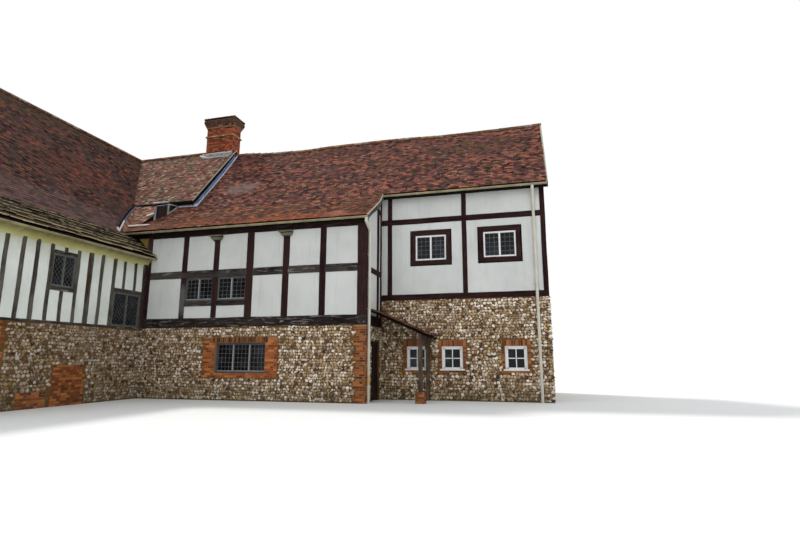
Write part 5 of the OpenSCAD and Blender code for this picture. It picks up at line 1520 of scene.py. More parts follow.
@dataclass
class Valley:
    """The swept valley: tiles that turn up the wing's slope to a strip of lead."""

    lines: Lines = LINES
    path: tuple[Span, ...] = ((-2.24, 1.43), (-2.221, 1.399), (-2.007, 1.001), (-1.765, 0.589),
                              (-1.488, 0.139), (-1.285, -0.161), (-1.074, -0.46), (-0.98, -0.56))
    ends: Span = (-0.24, 1.42)
    gauge: float = 0.088

    @property
    def _slope(self) -> float:
        """The wing roof's pitch."""
        return math.atan(self.lines.wing_slope)

    @property
    def _out(self) -> Vector:
        """The direction straight out of the wing's slope."""
        return Vector((math.sin(self._slope), 0, math.cos(self._slope)))

    def _lead_x(self, y: float) -> float:
        """Gives the lead's plan line at a depth."""
        for (x1, y1), (x0, y0) in zip(self.path, self.path[1:]):
            if y0 <= y <= y1:
                return x0 + (x1 - x0) * (y - y0) / (y1 - y0)
        return self.path[0][0]

    def _foot_x(self, y: float) -> float:
        """Gives where the range's lower roofs meet the wing's slope at a depth."""
        top = self.lines.low_top(y) if y > self.lines.low_y else self.lines.outshot_top(y)
        return self.lines.stone_x - (top - self.lines.stone_z) / self.lines.wing_slope

    def build(self, shelf: Shelf) -> None:
        """Lays the swept tiles, the lead and a near-black strip of painted shadow beside it."""
        heap, slope, out = Heap(seed=23), self._slope, self._out
        rng = heap.rng
        along = Vector((-math.cos(slope), 0, math.sin(slope)))
        (y, last), row = self.ends, 0
        while y < last:
            start, end = self._foot_x(y) + 0.12, self._lead_x(y) + 0.02
            reach = (start - end) / math.cos(slope)
            count = max(1, round(reach / 0.15))
            for k in range(count):
                x = start - (k + 0.5 - 0.25 * (row % 2)) * (start - end) / count
                lift = 0.05 + 0.02 * math.sin(math.pi * (k + 0.5) / count)
                lift += rng.uniform(-0.003, 0.004)
                point = Vector((x, y + 0.05, self.lines.wing_top(x))) + out * lift
                up = (Vector((0, 1, 0)) - out * 0.12 + along * rng.uniform(-0.05, 0.05)).normalized()
                side = up.cross(out).normalized()
                place = axes(side, up, side.cross(up), point)
                heap.block(place, (reach / count - 0.003, 0.145, 0.014), rng.random())
            y, row = y + self.gauge, row + 1
        heap.piece("swept_valley_tiles", [shelf.tiles_valley], "valley_roof")
        heap = Heap()
        self._strip(heap, (-0.022, 0.028), 0.10, 0, (0.0, 0.34))
        self._strip(heap, (-0.018, 0.022), 0.10, 2, (0.33, 1.0))
        # Painted shadow: a near-black strip beside the lead, where the swept tiles cast their shadow.
        self._strip(heap, (-0.078, -0.02), 0.088, 1, (0.0, 1.0))
        heap.piece("valley_lead", [shelf.lead_pale, shelf.deck_and_shade, shelf.lead], "lead_flashings")

    def _strip(self, heap: Heap, sides: Span, lift: float, material: int, part: Span) -> None:
        """Lays a strip beside one part of the valley's line."""
        out, (left, right) = self._out, sides
        y0, y1 = self.path[-1][1], self.path[0][1]

        def at(u: float, v: float) -> Vector:
            """Gives a point of the strip."""
            y = y0 + (y1 - y0) * (part[0] + (part[1] - part[0]) * u)
            x = self._lead_x(y) + left + (right - left) * v
            return Vector((x, y, self.lines.wing_top(x))) + out * lift
        heap.sheet(at, (24, 2), 0.006, 0.5, material)


class Sheet(IntEnum):
    """The numbers of the finishes of the dressed lead, of the mortar beside it and of the near-black sheets
    that are painted shade.
    """

    PALE = 1
    GREEN = 2
    EAVE = 3
    WHITE = 4
    PAINTED_SHADE = 5
    OLIVE = 6
    BLUE = 7


@dataclass
class Leadwork:
    """The lead beside and below the raised roof, round the chimney and on the hatch."""

    lines: Lines = LINES

    def _on_main(self, x: float, y: float, lift: float) -> Vector:
        """Gives a point over the outshot and main roofs."""
        top = self.lines.outshot_top(y) if y < self.lines.main_eave_y else self.lines.main_top(y)
        if x > 0.45 and y > self.lines.main_eave_y and lift < 0.2:
            return Vector((x, y, top + lift - SETTLING.drop(Vector((x, y, top)))))
        return Vector((x, y, top + lift))

    def _bar(self, heap: Heap, start: Sequence[float], end: Sequence[float], width: float, depth: float,
             out: Sequence[float], finish: Sheet) -> None:
        """Lays a bar between two points over the roofs, each given by its plan and its lift."""
        heap.bar(self._on_main(*start), self._on_main(*end), width, depth, out, 0.5, finish)

    @staticmethod
    def _parts(start: float, end: float, count: int) -> Iterator[Span]:
        """Gives the ends of each of the equal parts of a length."""
        for part in range(count):
            yield start + (end - start) * part / count, start + (end - start) * (part + 1) / count

    def _flat(self, heap: Heap, corners: Sequence[tuple[float, float]], lift: float, material: int,
              raised: bool = False) -> None:
        """Lays a four cornered sheet on a roof, given its plan corners in order."""
        (ax, ay), (bx, by), (cx, cy), (dx, dy) = corners
        more = self.lines.raise_h if raised else 0.0

        def at(u: float, v: float) -> Vector:
            """Gives a point of the sheet."""
            x = (ax + (bx - ax) * u) * (1 - v) + (dx + (cx - dx) * u) * v
            y = (ay + (by - ay) * u) * (1 - v) + (dy + (cy - dy) * u) * v
            wave = noise.noise(Vector((x * 3.0, y * 3.0, lift))) * 0.006
            return self._on_main(x, y, lift / math.cos(math.radians(45.0)) + wave + more)
        heap.sheet(at, (10, 3), 0.005, 0.5, material)

    def build(self, shelf: Shelf) -> None:
        """Lays every sheet."""
        heap = Heap()
        self._beside_raised(heap)
        self._foot_of_raised(heap)
        self._eave_and_low_slope(heap)
        self._apron(heap)
        # The olive mortar along the raised verge
        line = self.lines
        lift = line.raise_h - 0.012
        for y0, y1 in self._parts(line.raised_eave_y, line.ridge_y, 8):
            self._bar(heap, (0.507, y0, lift), (0.507, y1, lift), 0.035, 0.03, EAST, Sheet.OLIVE)
        heap.piece("dressed_lead", [shelf.lead, shelf.lead_pale, shelf.lead_green, shelf.lead_green,
                                    shelf.white_mortar, shelf.deck_and_shade, shelf.pale_mortar, shelf.lead_blue],
                   "lead_flashings")
        self._mortar(shelf)

    def _beside_raised(self, heap: Heap) -> None:
        """Lays the upstand, a near-black band of painted shade on the raised roof's side above it, the flat and
        its pale rolled edge beside the raised roof.
        """
        top_y = self.lines.ridge_y - 0.04
        self._flat(heap, ((0.47, 1.62), (0.47, top_y), (0.63, top_y), (0.61, 1.62)), 0.032, Sheet.BLUE)
        for y0, y1 in self._parts(1.60, top_y, 6):
            # Painted shade: a near-black band on the raised roof's side, above the blue upstand.
            self._bar(heap, (0.486, y0, 0.07), (0.486, y1, 0.07), 0.2, 0.012, EAST, Sheet.PAINTED_SHADE)
            self._bar(heap, (0.496, y0, 0.05), (0.496, y1, 0.05), 0.10, 0.012, EAST, Sheet.BLUE)
            self._bar(heap, (0.64, y0 - 0.01, 0.05), (0.64, y1, 0.05), 0.036, 0.03,
                      (0, -0.766, 0.643), Sheet.PALE)

    def _foot_of_raised(self, heap: Heap) -> None:
        """Lays the foot of the raised roof and the lower edge of the hatch's cheek."""
        self._flat(heap, ((-0.27, 1.62), (-0.27, 1.72), (0.66, 1.72), (0.60, 1.60)), 0.034, Sheet.PALE)
        self._bar(heap, (-0.27, 1.66, 0.04), (0.62, 1.61, 0.045), 0.035, 0.03, (0, -0.5, 0.8), Sheet.PALE)
        self._bar(heap, (-0.46, 1.30, 0.035), (-0.25, 1.66, 0.045), 0.05, 0.03, (0.5, -0.5, 0.7), Sheet.GREEN)
        heap.bar((-0.53, 1.36, 7.60), self._on_main(-0.25, 1.66, 0.05), 0.05, 0.02, (0.6, -0.6, 0.5), 0.5,
                 Sheet.GREEN)

    def _eave_and_low_slope(self, heap: Heap) -> None:
        """Dresses the raised eave above the hatch and the foot and head of the low slope, with a near-black
        board under the raised eave as painted shade.
        """
        eave = self.lines.raised_eave_y
        low, high = eave - 0.02, eave + 0.03
        self._flat(heap, ((-1.42, low), (-1.42, high), (-0.62, high), (-0.62, low)), 0.022, Sheet.EAVE, True)
        # The last lip is a near-black board that stands for the shade below the raised eave: painted shade.
        for run, shift, depth, finish in (((-1.42, -0.62), -0.024, 0.05, Sheet.EAVE),
                                          ((-2.25, -1.42), -0.005, 0.03, Sheet.EAVE),
                                          ((-0.62, 0.5), -0.005, 0.025, Sheet.EAVE),
                                          ((-2.3, -0.78), 0.012, 0.235, Sheet.PAINTED_SHADE)):
            self._drop(heap, run, eave + shift, depth, finish)
        self._flat(heap, ((-1.62, 0.20), (-0.34, 0.17), (-0.34, 0.27), (-1.62, 0.31)), 0.052, Sheet.WHITE)
        self._bar(heap, (-1.66, 0.20, 0.08), (-0.36, 0.165, 0.08), 0.085, 0.045, (0, -0.5, 0.8), Sheet.WHITE)
        heap.bar((-1.02, 0.80, 6.98), (-0.78, 0.90, 7.09), 0.10, 0.03, (0, -0.7, 0.7), 0.5, Sheet.WHITE)

    def _apron(self, heap: Heap) -> None:
        """Lays the chimney's apron and the mortar that holds it."""
        (x0, x1, y0, _), line = self.lines.stack, self.lines
        self._flat(heap, ((x0 - 0.06, y0 - 0.12), (x1 - 0.06, y0 - 0.12), (x1 + 0.02, y0), (x0 - 0.06, y0)),
                   0.036, Sheet.GREEN, True)
        lift = line.raise_h + 0.05
        self._bar(heap, (x0 - 0.06, y0 - 0.125, lift), (x1 - 0.08, y0 - 0.125, lift), 0.03, 0.02,
                  (0, -0.6, 0.7), Sheet.PALE)
        base = line.main_top(y0) + line.raise_h
        heap.block(turned((x0 + x1) / 2, y0 - 0.010, base + 0.06), (x1 - x0 + 0.05, 0.012, 0.16), 0.5,
                   Sheet.GREEN)
        lumps = 12
        for k in range(lumps):
            x = x0 + (x1 - x0) * (k + 0.5) / lumps
            heap.block(turned(x, y0 - 0.014, base + 0.145 + 0.008 * (k % 3)), ((x1 - x0) / lumps, 0.028, 0.035),
                       0.5, Sheet.WHITE)

    def _drop(self, heap: Heap, run: Span, y: float, depth: float, finish: Sheet) -> None:
        """Hangs a lip below the raised eave."""
        top = self.lines.main_top(self.lines.raised_eave_y) + self.lines.raise_h + 0.02
        middle = turned((run[0] + run[1]) / 2, y, top - depth / 2)
        heap.block(middle, (run[1] - run[0], 0.012, depth), 0.5, finish)

    @staticmethod
    def _mortar(shelf: Shelf) -> None:
        """Packs mortar beside the chimney and where the valley's lead ends."""
        heap = Heap(seed=27)
        for x, y, z, size in (
                (-1.08, 4.02, 10.79, 0.10), (-1.18, 4.06, 10.84, 0.085), (-0.98, 3.98, 10.74, 0.085),
                (-0.88, 3.95, 10.71, 0.07), (-1.10, 4.10, 10.92, 0.06), (-1.08, -0.47, 6.17, 0.05),
                (-1.01, -0.53, 6.11, 0.045), (-0.92, -0.61, 6.05, 0.05), (-0.83, -0.67, 6.00, 0.04),
                (-0.76, -0.72, 5.95, 0.03)):
            heap.nodule(turned(x, y, z), (size * 1.3, size * 1.2, size * 0.7), 0.5)
        heap.piece("packed_mortar", [shelf.white_mortar], "lead_flashings")


@dataclass
class Hatch:
    """The boarded hatch under the raised eave: its jambs and boards."""

    foot: Span = (-0.75, 0.93)
    end: Span = (-0.52, 1.37)
    sill: Span = (6.79, 7.13)
    head: Span = (7.36, 7.58)

    def build(self, shelf: Shelf) -> None:
        """Sets the jambs and boards."""
        heap, boards = Heap(), 4
        start, end = Vector((*self.foot, 0.0)), Vector((*self.end, 0.0))
        out = (end - start).normalized().cross(UP)
        for k in range(boards):
            share0, share1 = 0.1 + 0.2 * k, 0.1 + 0.2 * (k + 1)
            a, b = start.lerp(end, share0), start.lerp(end, share1)
            middle = (a + b) / 2 + out * 0.012
            low = self.sill[0] + (self.sill[1] - self.sill[0]) * share0 + 0.02
            high = self.head[0] + (self.head[1] - self.head[0]) * share1 - 0.02
            heap.bar((middle.x, middle.y, low), (middle.x, middle.y, high), (b - a).length - 0.008,
                     0.02, out, 0.2 + 0.2 * k)
        for at, low, high in ((start, self.sill[0], self.head[0]), (end, self.sill[1] - 0.03, self.head[1])):
            point = at + out * 0.02
            heap.bar((point.x, point.y, low), (point.x, point.y, high), 0.075, 0.045, out, 0.6, 1)
        heap.piece("hatch_boards", [shelf.oak_plain, shelf.lead_green], "roof_hatch")
        self._corner(shelf)

    @staticmethod
    def _corner(shelf: Shelf) -> None:
        """Closes the corner of the wing's eaves and the outshot with near-black boards, painted shade for the
        shadowed corner, and a lichened fillet.
        """
        heap, south = Heap(), (0, -1, 0)
        # Painted shade: near-black boards over the panel in the corner under the wing's eaves.
        for k in range(5):
            x = -0.83 + 0.165 * k
            heap.bar((x, -0.018, 5.18), (x, -0.018, 5.93), 0.158, 0.02, south, 0.2 * k)

        def at(u: float, v: float) -> Vector:
            """Gives a point of the fillet."""
            top = Vector((-0.44, -0.035, 5.79)).lerp(Vector((-0.05, -0.035, 5.785)), u)
            low = Vector((-0.44, -0.035, 5.77)).lerp(Vector((-0.06, -0.035, 5.40)), u)
            return low.lerp(top, v) + Vector((0, -0.02, 0)) * noise.noise(Vector((u * 5, v * 5, 1)))
        heap.sheet(at, (8, 5), 0.012, 0.5, 1)
        heap.bar((0.008, -0.012, 5.02), (0.008, -0.012, 5.80), 0.216, 0.02, south, 0.5, 2)
        heap.piece("corner_boards", [shelf.deck_and_shade, shelf.lichen, shelf.oak_corner], "front_beams")


@dataclass
class StoneEaves:
    """Courses of split stone slabs along the wing's eaves, over a sunk copy of their CAD courses."""

    lines: Lines = LINES
    courses: int = 6
    thick: float = 0.028
    seed: int = 31

    def build(self, shelf: Shelf) -> None:
        """Lays both sides."""
        heap = Heap(24, seed=self.seed)
        self._side(heap, (self.lines.wing_y0, -0.012), False)
        self._side(heap, (self.lines.wing_y0, self.lines.wing_y1), True)
        heap.sunk_copy("wing_stone_eaves", 0.05, 1)
        heap.piece("wing_stone_slabs", [shelf.stone, shelf.deck_and_shade], "wing_stone_eaves", ("wing_stone_eaves",))

    def _side(self, heap: Heap, run: Span, west: bool) -> None:
        """Lays the slabs of one side."""
        line, rng = self.lines, heap.rng
        gauge = (line.wing_eave_x - line.stone_x) / self.courses
        pitch = math.degrees(math.atan(line.stone_slope))
        flip = Matrix.Diagonal((-1, 1, 1, 1))
        for course in range(self.courses):
            y = run[0] - rng.uniform(0.0, 0.2)
            while y < run[1] - 0.05:
                length = rng.uniform(0.22, 0.62) * (1.2 - 0.06 * course)
                start, end = max(y, run[0]), min(y + length, run[1])
                y += length
                if end - start < 0.06:
                    continue
                tail = line.wing_eave_x - gauge * course - rng.uniform(0.0, 0.035)
                head = tail - gauge * 1.4
                x = (tail + head) / 2
                rise = 0.024 + rng.uniform(-0.006, 0.018) - (0.022 if course == 0 else 0.0)
                tone = rng.uniform(0.6, 1.0) if course < 2 else rng.uniform(0.0, 0.62)
                z = line.wing_eave_z + line.stone_slope * (line.wing_eave_x - x) + rise
                size = ((tail - head) / math.cos(math.radians(pitch)), end - start - rng.uniform(0.006, 0.03),
                        self.thick * rng.uniform(0.7, 1.25))
                place = turned(x, (start + end) / 2, z, pitch - 6.4 + rng.uniform(-1.6, 1.6), "Y")
                if west:
                    place = turned(-line.wing_w) @ flip @ place @ flip
                heap.worn_block(place, size, tone, 0.008, 0.010)


# Walls


@dataclass(frozen=True)
class FlintFace:
    """A wall face of flints laid in rough courses, clear of its brickwork and openings."""

    wall: Wall
    run: Span
    top: float
    gaps: tuple[Rect, ...] = ()
    foot: float = 0.0
    coarse: float = 1.0

    def lay(self, heap: Heap) -> None:
        """Lays the large flints in wavering courses, and small ones in the gaps between them."""
        z, rng = self.foot, heap.rng
        while z < self.top - 0.03:
            row = min(rng.uniform(0.068, 0.112) * self.coarse, self.top - z)
            u = self.run[0] + rng.uniform(-0.04, 0.02)
            while u < self.run[1] - 0.02:
                width = rng.uniform(0.055, 0.15) * self.coarse
                waver = noise.noise(Vector((u * 1.1, z * 0.6, 3.7))) * 0.05
                middle = (min(u + width / 2, self.run[1] - 0.02), z + row / 2 + waver)
                u += width
                if middle[0] < self.run[0] + 0.02 or self._in_gap(*middle):
                    continue
                self._flint(heap, middle, width, row)
                spot = (middle[0] + width * 0.5, middle[1] + row * rng.choice((-0.5, 0.5)))
                if rng.random() < 0.4 and not self._in_gap(*spot):
                    self._flint(heap, spot, 0.045, 0.042)
            z += row

    def _in_gap(self, u: float, z: float) -> bool:
        """Tells whether a point lies in a gap or off the wall."""
        off = not (self.foot + 0.02 < z < self.top - 0.02 and self.run[0] < u < self.run[1])
        return off or any(u0 - 0.03 < u < u1 + 0.03 and z0 - 0.02 < z < z1 + 0.02
                          for u0, u1, z0, z1 in self.gaps)

    def _flint(self, heap: Heap, middle: Span, width: float, row: float) -> None:
        """Lays one flint, turned less near the foot so that it stays above the ground."""
        rng = heap.rng
        size = (width * rng.uniform(0.48, 0.6), rng.uniform(0.024, 0.036), row * rng.uniform(0.46, 0.6))
        sunk, rise, turn = rng.uniform(0.0, 0.006), rng.uniform(-0.008, 0.008), rng.uniform(-35, 35)
        if middle[1] < self.foot + 0.12:
            turn, rise = turn * 0.2, max(rise, self.foot + size[2] * 1.25 + 0.012 - middle[1])
        place = self.wall.place @ turned(middle[0], 0.006 - sunk, middle[1] + rise, turn, "Y")
        heap.nodule(place, size, rng.random())


@dataclass(frozen=True)
class BrickFace:
    """A face of brickwork: runs of stretchers and headers in courses."""

    wall: Wall
    course: float = 0.075
    brick_l: float = 0.225
    joint: float = 0.013
    proud: float = 0.006
    deep: float = 0.06

    def runs(self, heap: Heap, run: Callable[[float], Sequence[Span]], z0: float, z1: float,
             material: int = 0) -> None:
        """Lays courses between two heights.

        Args:
            heap: Takes the bricks.
            run: Gives the runs of a course from its height.
            z0: Height of the lowest course.
            z1: Height of the top.
            material: Number of the bricks' finish.
        """
        count = round((z1 - z0) / self.course)
        step = (z1 - z0) / max(1, count)
        for i in range(count):
            for start, end in run(z0 + (i + 0.5) * step):
                self._course(heap, (start, end), (z0 + i * step, z0 + i * step + step), i % 2, material)

    def _course(self, heap: Heap, run: Span, height: Span, turn: int, material: int) -> None:
        """Lays one run of a course, headers and stretchers in turn."""
        u, end = run
        while u < end - 0.02:
            stop = u + (self.brick_l if turn == 0 else self.brick_l / 2)
            if end - stop < 0.05:
                stop = end
            self._brick(heap, (u, min(stop, end)), height, material)
            u, turn = stop, 1 - turn

    def soldiers(self, heap: Heap, run: Span, height: Span, material: int = 0) -> None:
        """Lays a head of bricks on end."""
        u0, u1 = run
        count = round((u1 - u0) / self.course)
        step = (u1 - u0) / count
        for i in range(count):
            self._brick(heap, (u0 + i * step, u0 + (i + 1) * step), height, material)

    def _brick(self, heap: Heap, run: Span, height: Span, material: int) -> None:
        """Lays one brick."""
        (u0, u1), (z0, z1), rng = run, height, heap.rng
        proud = self.proud + rng.uniform(-0.002, 0.003)
        place = self.wall.place @ turned((u0 + u1) / 2, self.deep / 2 - proud, (z0 + z1) / 2,
                                         rng.uniform(-0.6, 0.6), "Y")
        size = (u1 - u0 - self.joint, self.deep, z1 - z0 - self.joint)
        heap.worn_block(place, size, rng.random(), 0.004, material=material)


def brick_ring(heap: Heap, rect: Rect, z0: float, z1: float, material: int = 0) -> None:
    """Lays courses of brick all round a rectangle, between two heights."""
    for wall, length in four_sides(*rect):
        BrickFace(wall).runs(heap, lambda z, length=length: [(0.0, length)], z0, z1, material)


@dataclass
class Masonry:
    """Flint faces with their brick corners, window dressings and patches."""

    lines: Lines = LINES
    side: float = 0.115
    course: float = 0.075
    head: float = 0.2
    tooth_h: float = 0.225

    def _dressings(self, wall: Wall) -> tuple[Rect, ...]:
        """Gives the brick zones round a wall's casements."""
        return tuple((u - self.side, u + CASEMENT_W + self.side, CASEMENT_SILL - self.course,
                      CASEMENT_HEAD + self.head) for u in CASEMENTS[wall])

    def _dress(self, heap: Heap, wall: Wall) -> None:
        """Lays the bricks round a wall's casements."""
        face, low, high = BrickFace(wall), CASEMENT_SILL, CASEMENT_HEAD
        for u in CASEMENTS[wall]:
            left, right = u - self.side, u + CASEMENT_W + self.side
            face.runs(heap, lambda z, u=u: [(u - self.side, u), (u + CASEMENT_W, u + CASEMENT_W + self.side)],
                      low, high + 0.05)
            face.runs(heap, lambda z, left=left, right=right: [(left, right)], low - self.course, low)
            face.soldiers(heap, (left + 0.02, right - 0.02), (high, high + self.head))

    def build(self, shelf: Shelf) -> None:
        """Lays every wall."""
        self._flints(shelf)
        rng = random.Random(51)
        heap = Heap(24, rng=rng)
        self._quoin(heap)
        self._ground_window(heap)
        heap.piece("front_bricks", [shelf.brick, shelf.window_brick, shelf.head_brick], "front_brickwork")
        heap = Heap(24, rng=rng)
        for wall in (RECESS, GABLE, REAR):
            self._dress(heap, wall)
        heap.piece("recess_bricks", [shelf.brick], "recess_brickwork")
        heap = Heap(24, rng=rng)
        for wall in (WING_WEST, WING_SOUTH, WING_NORTH):
            self._dress(heap, wall)
        east = BrickFace(WING_EAST)
        east.runs(heap, lambda z: [(0.0, self._tooth(z, 0.895, 0.78))], 0.0, 2.39)
        east.runs(heap, lambda z: [(3.15, 4.05)], 0.0, 0.45)
        east.runs(heap, lambda z: [(4.17, 5.28 if z < 0.9 else 5.18)], 0.0, 1.2)
        east.runs(heap, lambda z: [(1.75, self._tooth(z, 2.65, 2.54))], 0.0, 2.38)
        BrickFace(WING_SOUTH).runs(heap, lambda z: [(9.35, 9.8)], 0.0, 2.39)
        heap.piece("wing_bricks", [shelf.brick], "wing_brickwork")
        heap = Heap(24, rng=rng)
        brick_ring(heap, (10.035, 10.325, 0.355, 0.645), 0.0, 0.35)
        heap.piece("plinth_bricks", [shelf.brick], "porch_plinths")

    def _flints(self, shelf: Shelf) -> None:
        """Lays the flints of every wall, clear of the bricks."""
        high, wing_high, recess_high = self.lines.flint_h, self.lines.wing_flint_h, self.lines.recess_flint_h
        quoin = self._teeth(8.195, 8.506, 0.1, high, False)
        corner = self._teeth(0.0, 0.78, 0.115, wing_high, True)
        patches = ((3.15, 4.05, 0.0, 0.45), (4.17, 5.28, 0.0, 1.2), (1.75, 2.65, 0.0, 2.39))
        pieces = (
            ("front_flints", "front_flint_wall", shelf.flint_front, (
                FlintFace(MAIN_FRONT, (0.0, 8.15), high, ((2.605, 5.435, 0.75, 2.11), *quoin)),)),
            ("wing_flints", "wing_side_flint_walls", shelf.flint_wing, (
                FlintFace(WING_EAST, (0.7, 7.5), wing_high, (*patches, *corner)),)),
            ("recess_flints", "recess_flint_wall", shelf.flint, (
                FlintFace(RECESS, (0.0, 5.744), recess_high, self._dressings(RECESS)),
                FlintFace(RETURN, (0.45, 1.75), high, ((0.62, 1.52, 0.0, 1.95),)))),
            ("gable_flints", "side_flint_walls", shelf.flint, (
                FlintFace(GABLE, (0.0, 5.15), recess_high, self._dressings(GABLE), coarse=1.15),)),
            ("rear_flints", "rear_flint_wall", shelf.flint, (
                FlintFace(REAR, (0.0, 14.25), high, self._dressings(REAR), coarse=1.25),)),
            ("west_flints", "wing_side_flint_walls", shelf.flint, (
                FlintFace(WING_WEST, (0.0, 14.4), wing_high, self._dressings(WING_WEST), coarse=1.25),)),
            ("wing_end_flints", "wing_end_flint_walls", shelf.flint, (
                FlintFace(WING_SOUTH, (0.0, 9.35), wing_high, self._dressings(WING_SOUTH), coarse=1.25),
                FlintFace(WING_NORTH, (0.0, 9.8), wing_high, self._dressings(WING_NORTH), coarse=1.25))))
        for seed, (name, node, finish, faces) in enumerate(pieces, 41):
            heap = Heap(96, seed=seed)
            for face in faces:
                face.lay(heap)
            heap.piece(name, [finish], node)

    def _tooth(self, z: float, far: float, near: float) -> float:
        """Gives where a toothed edge ends at a height."""
        return far if int(z / self.tooth_h) % 2 == 0 else near

    def _teeth(self, u0: float, u1: float, tooth: float, top: float, right: bool) -> tuple[Rect, ...]:
        """Gives the zones of a toothed corner."""
        block = 3 * self.course
        zones = []
        for i in range(math.ceil(top / block)):
            more = tooth if i % 2 == 0 else 0.0
            left, far = (u0, u1 + more) if right else (u0 - more, u1)
            zones.append((left, far, i * block, (i + 1) * block))
        return tuple(zones)

    def _quoin(self, heap: Heap) -> None:
        """Lays the toothed corner beside the porch."""
        BrickFace(MAIN_FRONT).runs(heap, lambda z: [(8.195 - self._tooth(z, 0.1, 0.0), 8.506)], 0.0, 2.4)
        BrickFace(RETURN).runs(heap, lambda z: [(0.0, 0.45)], 0.0, 2.4)

    @staticmethod
    def _ground_window(heap: Heap) -> None:
        """Lays the bricks round the window of the outshot."""
        face, wide = BrickFace(MAIN_FRONT), (2.605, 5.435)
        face.runs(heap, lambda z: [(wide[0], 3.06), (4.98, wide[1])], 0.9, 1.91, 1)
        face.runs(heap, lambda z: [wide], 0.75, 0.9, 1)
        face.runs(heap, lambda z: [(wide[0], 2.97), (5.07, wide[1])], 1.91, 2.06, 1)
        face.soldiers(heap, (2.97, 5.07), (1.91, 2.105), 2)


@dataclass
class Chimney:
    """The stack's brickwork, its string course, corbelled cap and flaunching.

    Each ring of courses has how far it stands out, its foot and its top, and its finish: the stack's
    brick, sooty brick, the string course's brick or a near-black course, painted shade in the gap under the
    cap's top courses.
    """

    stack: Rect = LINES.stack
    cap: float = 12.2
    cap_out: float = 0.12
    rings: tuple[tuple[float, float, float, int], ...] = (
        (0.0, 10.3, 11.73, 0), (0.03, 11.725, 11.752, 1), (0.05, 11.752, 11.808, 2), (0.0, 11.81, 12.28, 0),
        (0.055, 12.27, 12.35, 1), (0.09, 12.35, 12.425, 1), (0.12, 12.425, 12.56, 1), (0.10, 12.56, 12.61, 3),
        (0.128, 12.61, 12.69, 1))

    def build(self, shelf: Shelf) -> None:
        """Lays the chimney's bricks."""
        heap, (x0, x1, y0, y1) = Heap(24, seed=61), self.stack
        # Finish 3 lays a near-black ring: painted shade in the gap under the cap's top courses.
        for out, low, high, material in self.rings:
            brick_ring(heap, (x0 - out, x1 + out, y0 - out, y1 + out), low, high, material)
        heap.piece("chimney_bricks", [shelf.stack_brick, shelf.cap_brick, shelf.string_brick, shelf.deck_and_shade],
                   "chimney_top")
        self._flaunching(shelf, heap.rng)

    def _flaunching(self, shelf: Shelf, rng: random.Random) -> None:
        """Packs the mortar on top of the cap, with cushions of moss."""
        heap, out, lumps = Heap(rng=rng), self.cap_out * 0.8, 26
        x0, x1, y0, y1 = self.stack
        for k in range(lumps):
            x = x0 - out + (x1 - x0 + 2 * out) * (k + 0.5) / lumps
            for side in (y0 - out, y1 + out):
                y = side + rng.uniform(-0.02, 0.02)
                size = (0.05, 0.04, rng.uniform(0.015, 0.04))
                heap.nodule(turned(x, y, self.cap + 0.456, rng.uniform(0, 360)), size, rng.random())
        heap.piece("flaunching", [shelf.dark_mortar], "chimney_top")
        heap = Heap(rng=rng)
        for x, y, size in ((0.54, 3.94, 0.045), (0.47, 3.93, 0.035), (0.56, 4.02, 0.04), (0.38, 3.93, 0.025),
                           (0.57, 4.12, 0.03), (-0.1, 3.93, 0.02), (-0.95, 3.94, 0.025), (0.57, 4.4, 0.03)):
            heap.nodule(turned(x, y, self.cap + 0.46), (size, size, size * 0.6), 0.6)
            heap.nodule(turned(x + 0.01, y - 0.012, self.cap + 0.44), (size * 0.8, size * 0.7, size * 0.6), 0.3)
        heap.piece("cap_moss", [shelf.moss], "chimney_top")


# Windows


class Glazing(Enum):
    """How a light is glazed."""

    SQUARE = "rectangular leads"
    DIAMOND = "diamond leads"
    BARS = "wooden glazing bars"


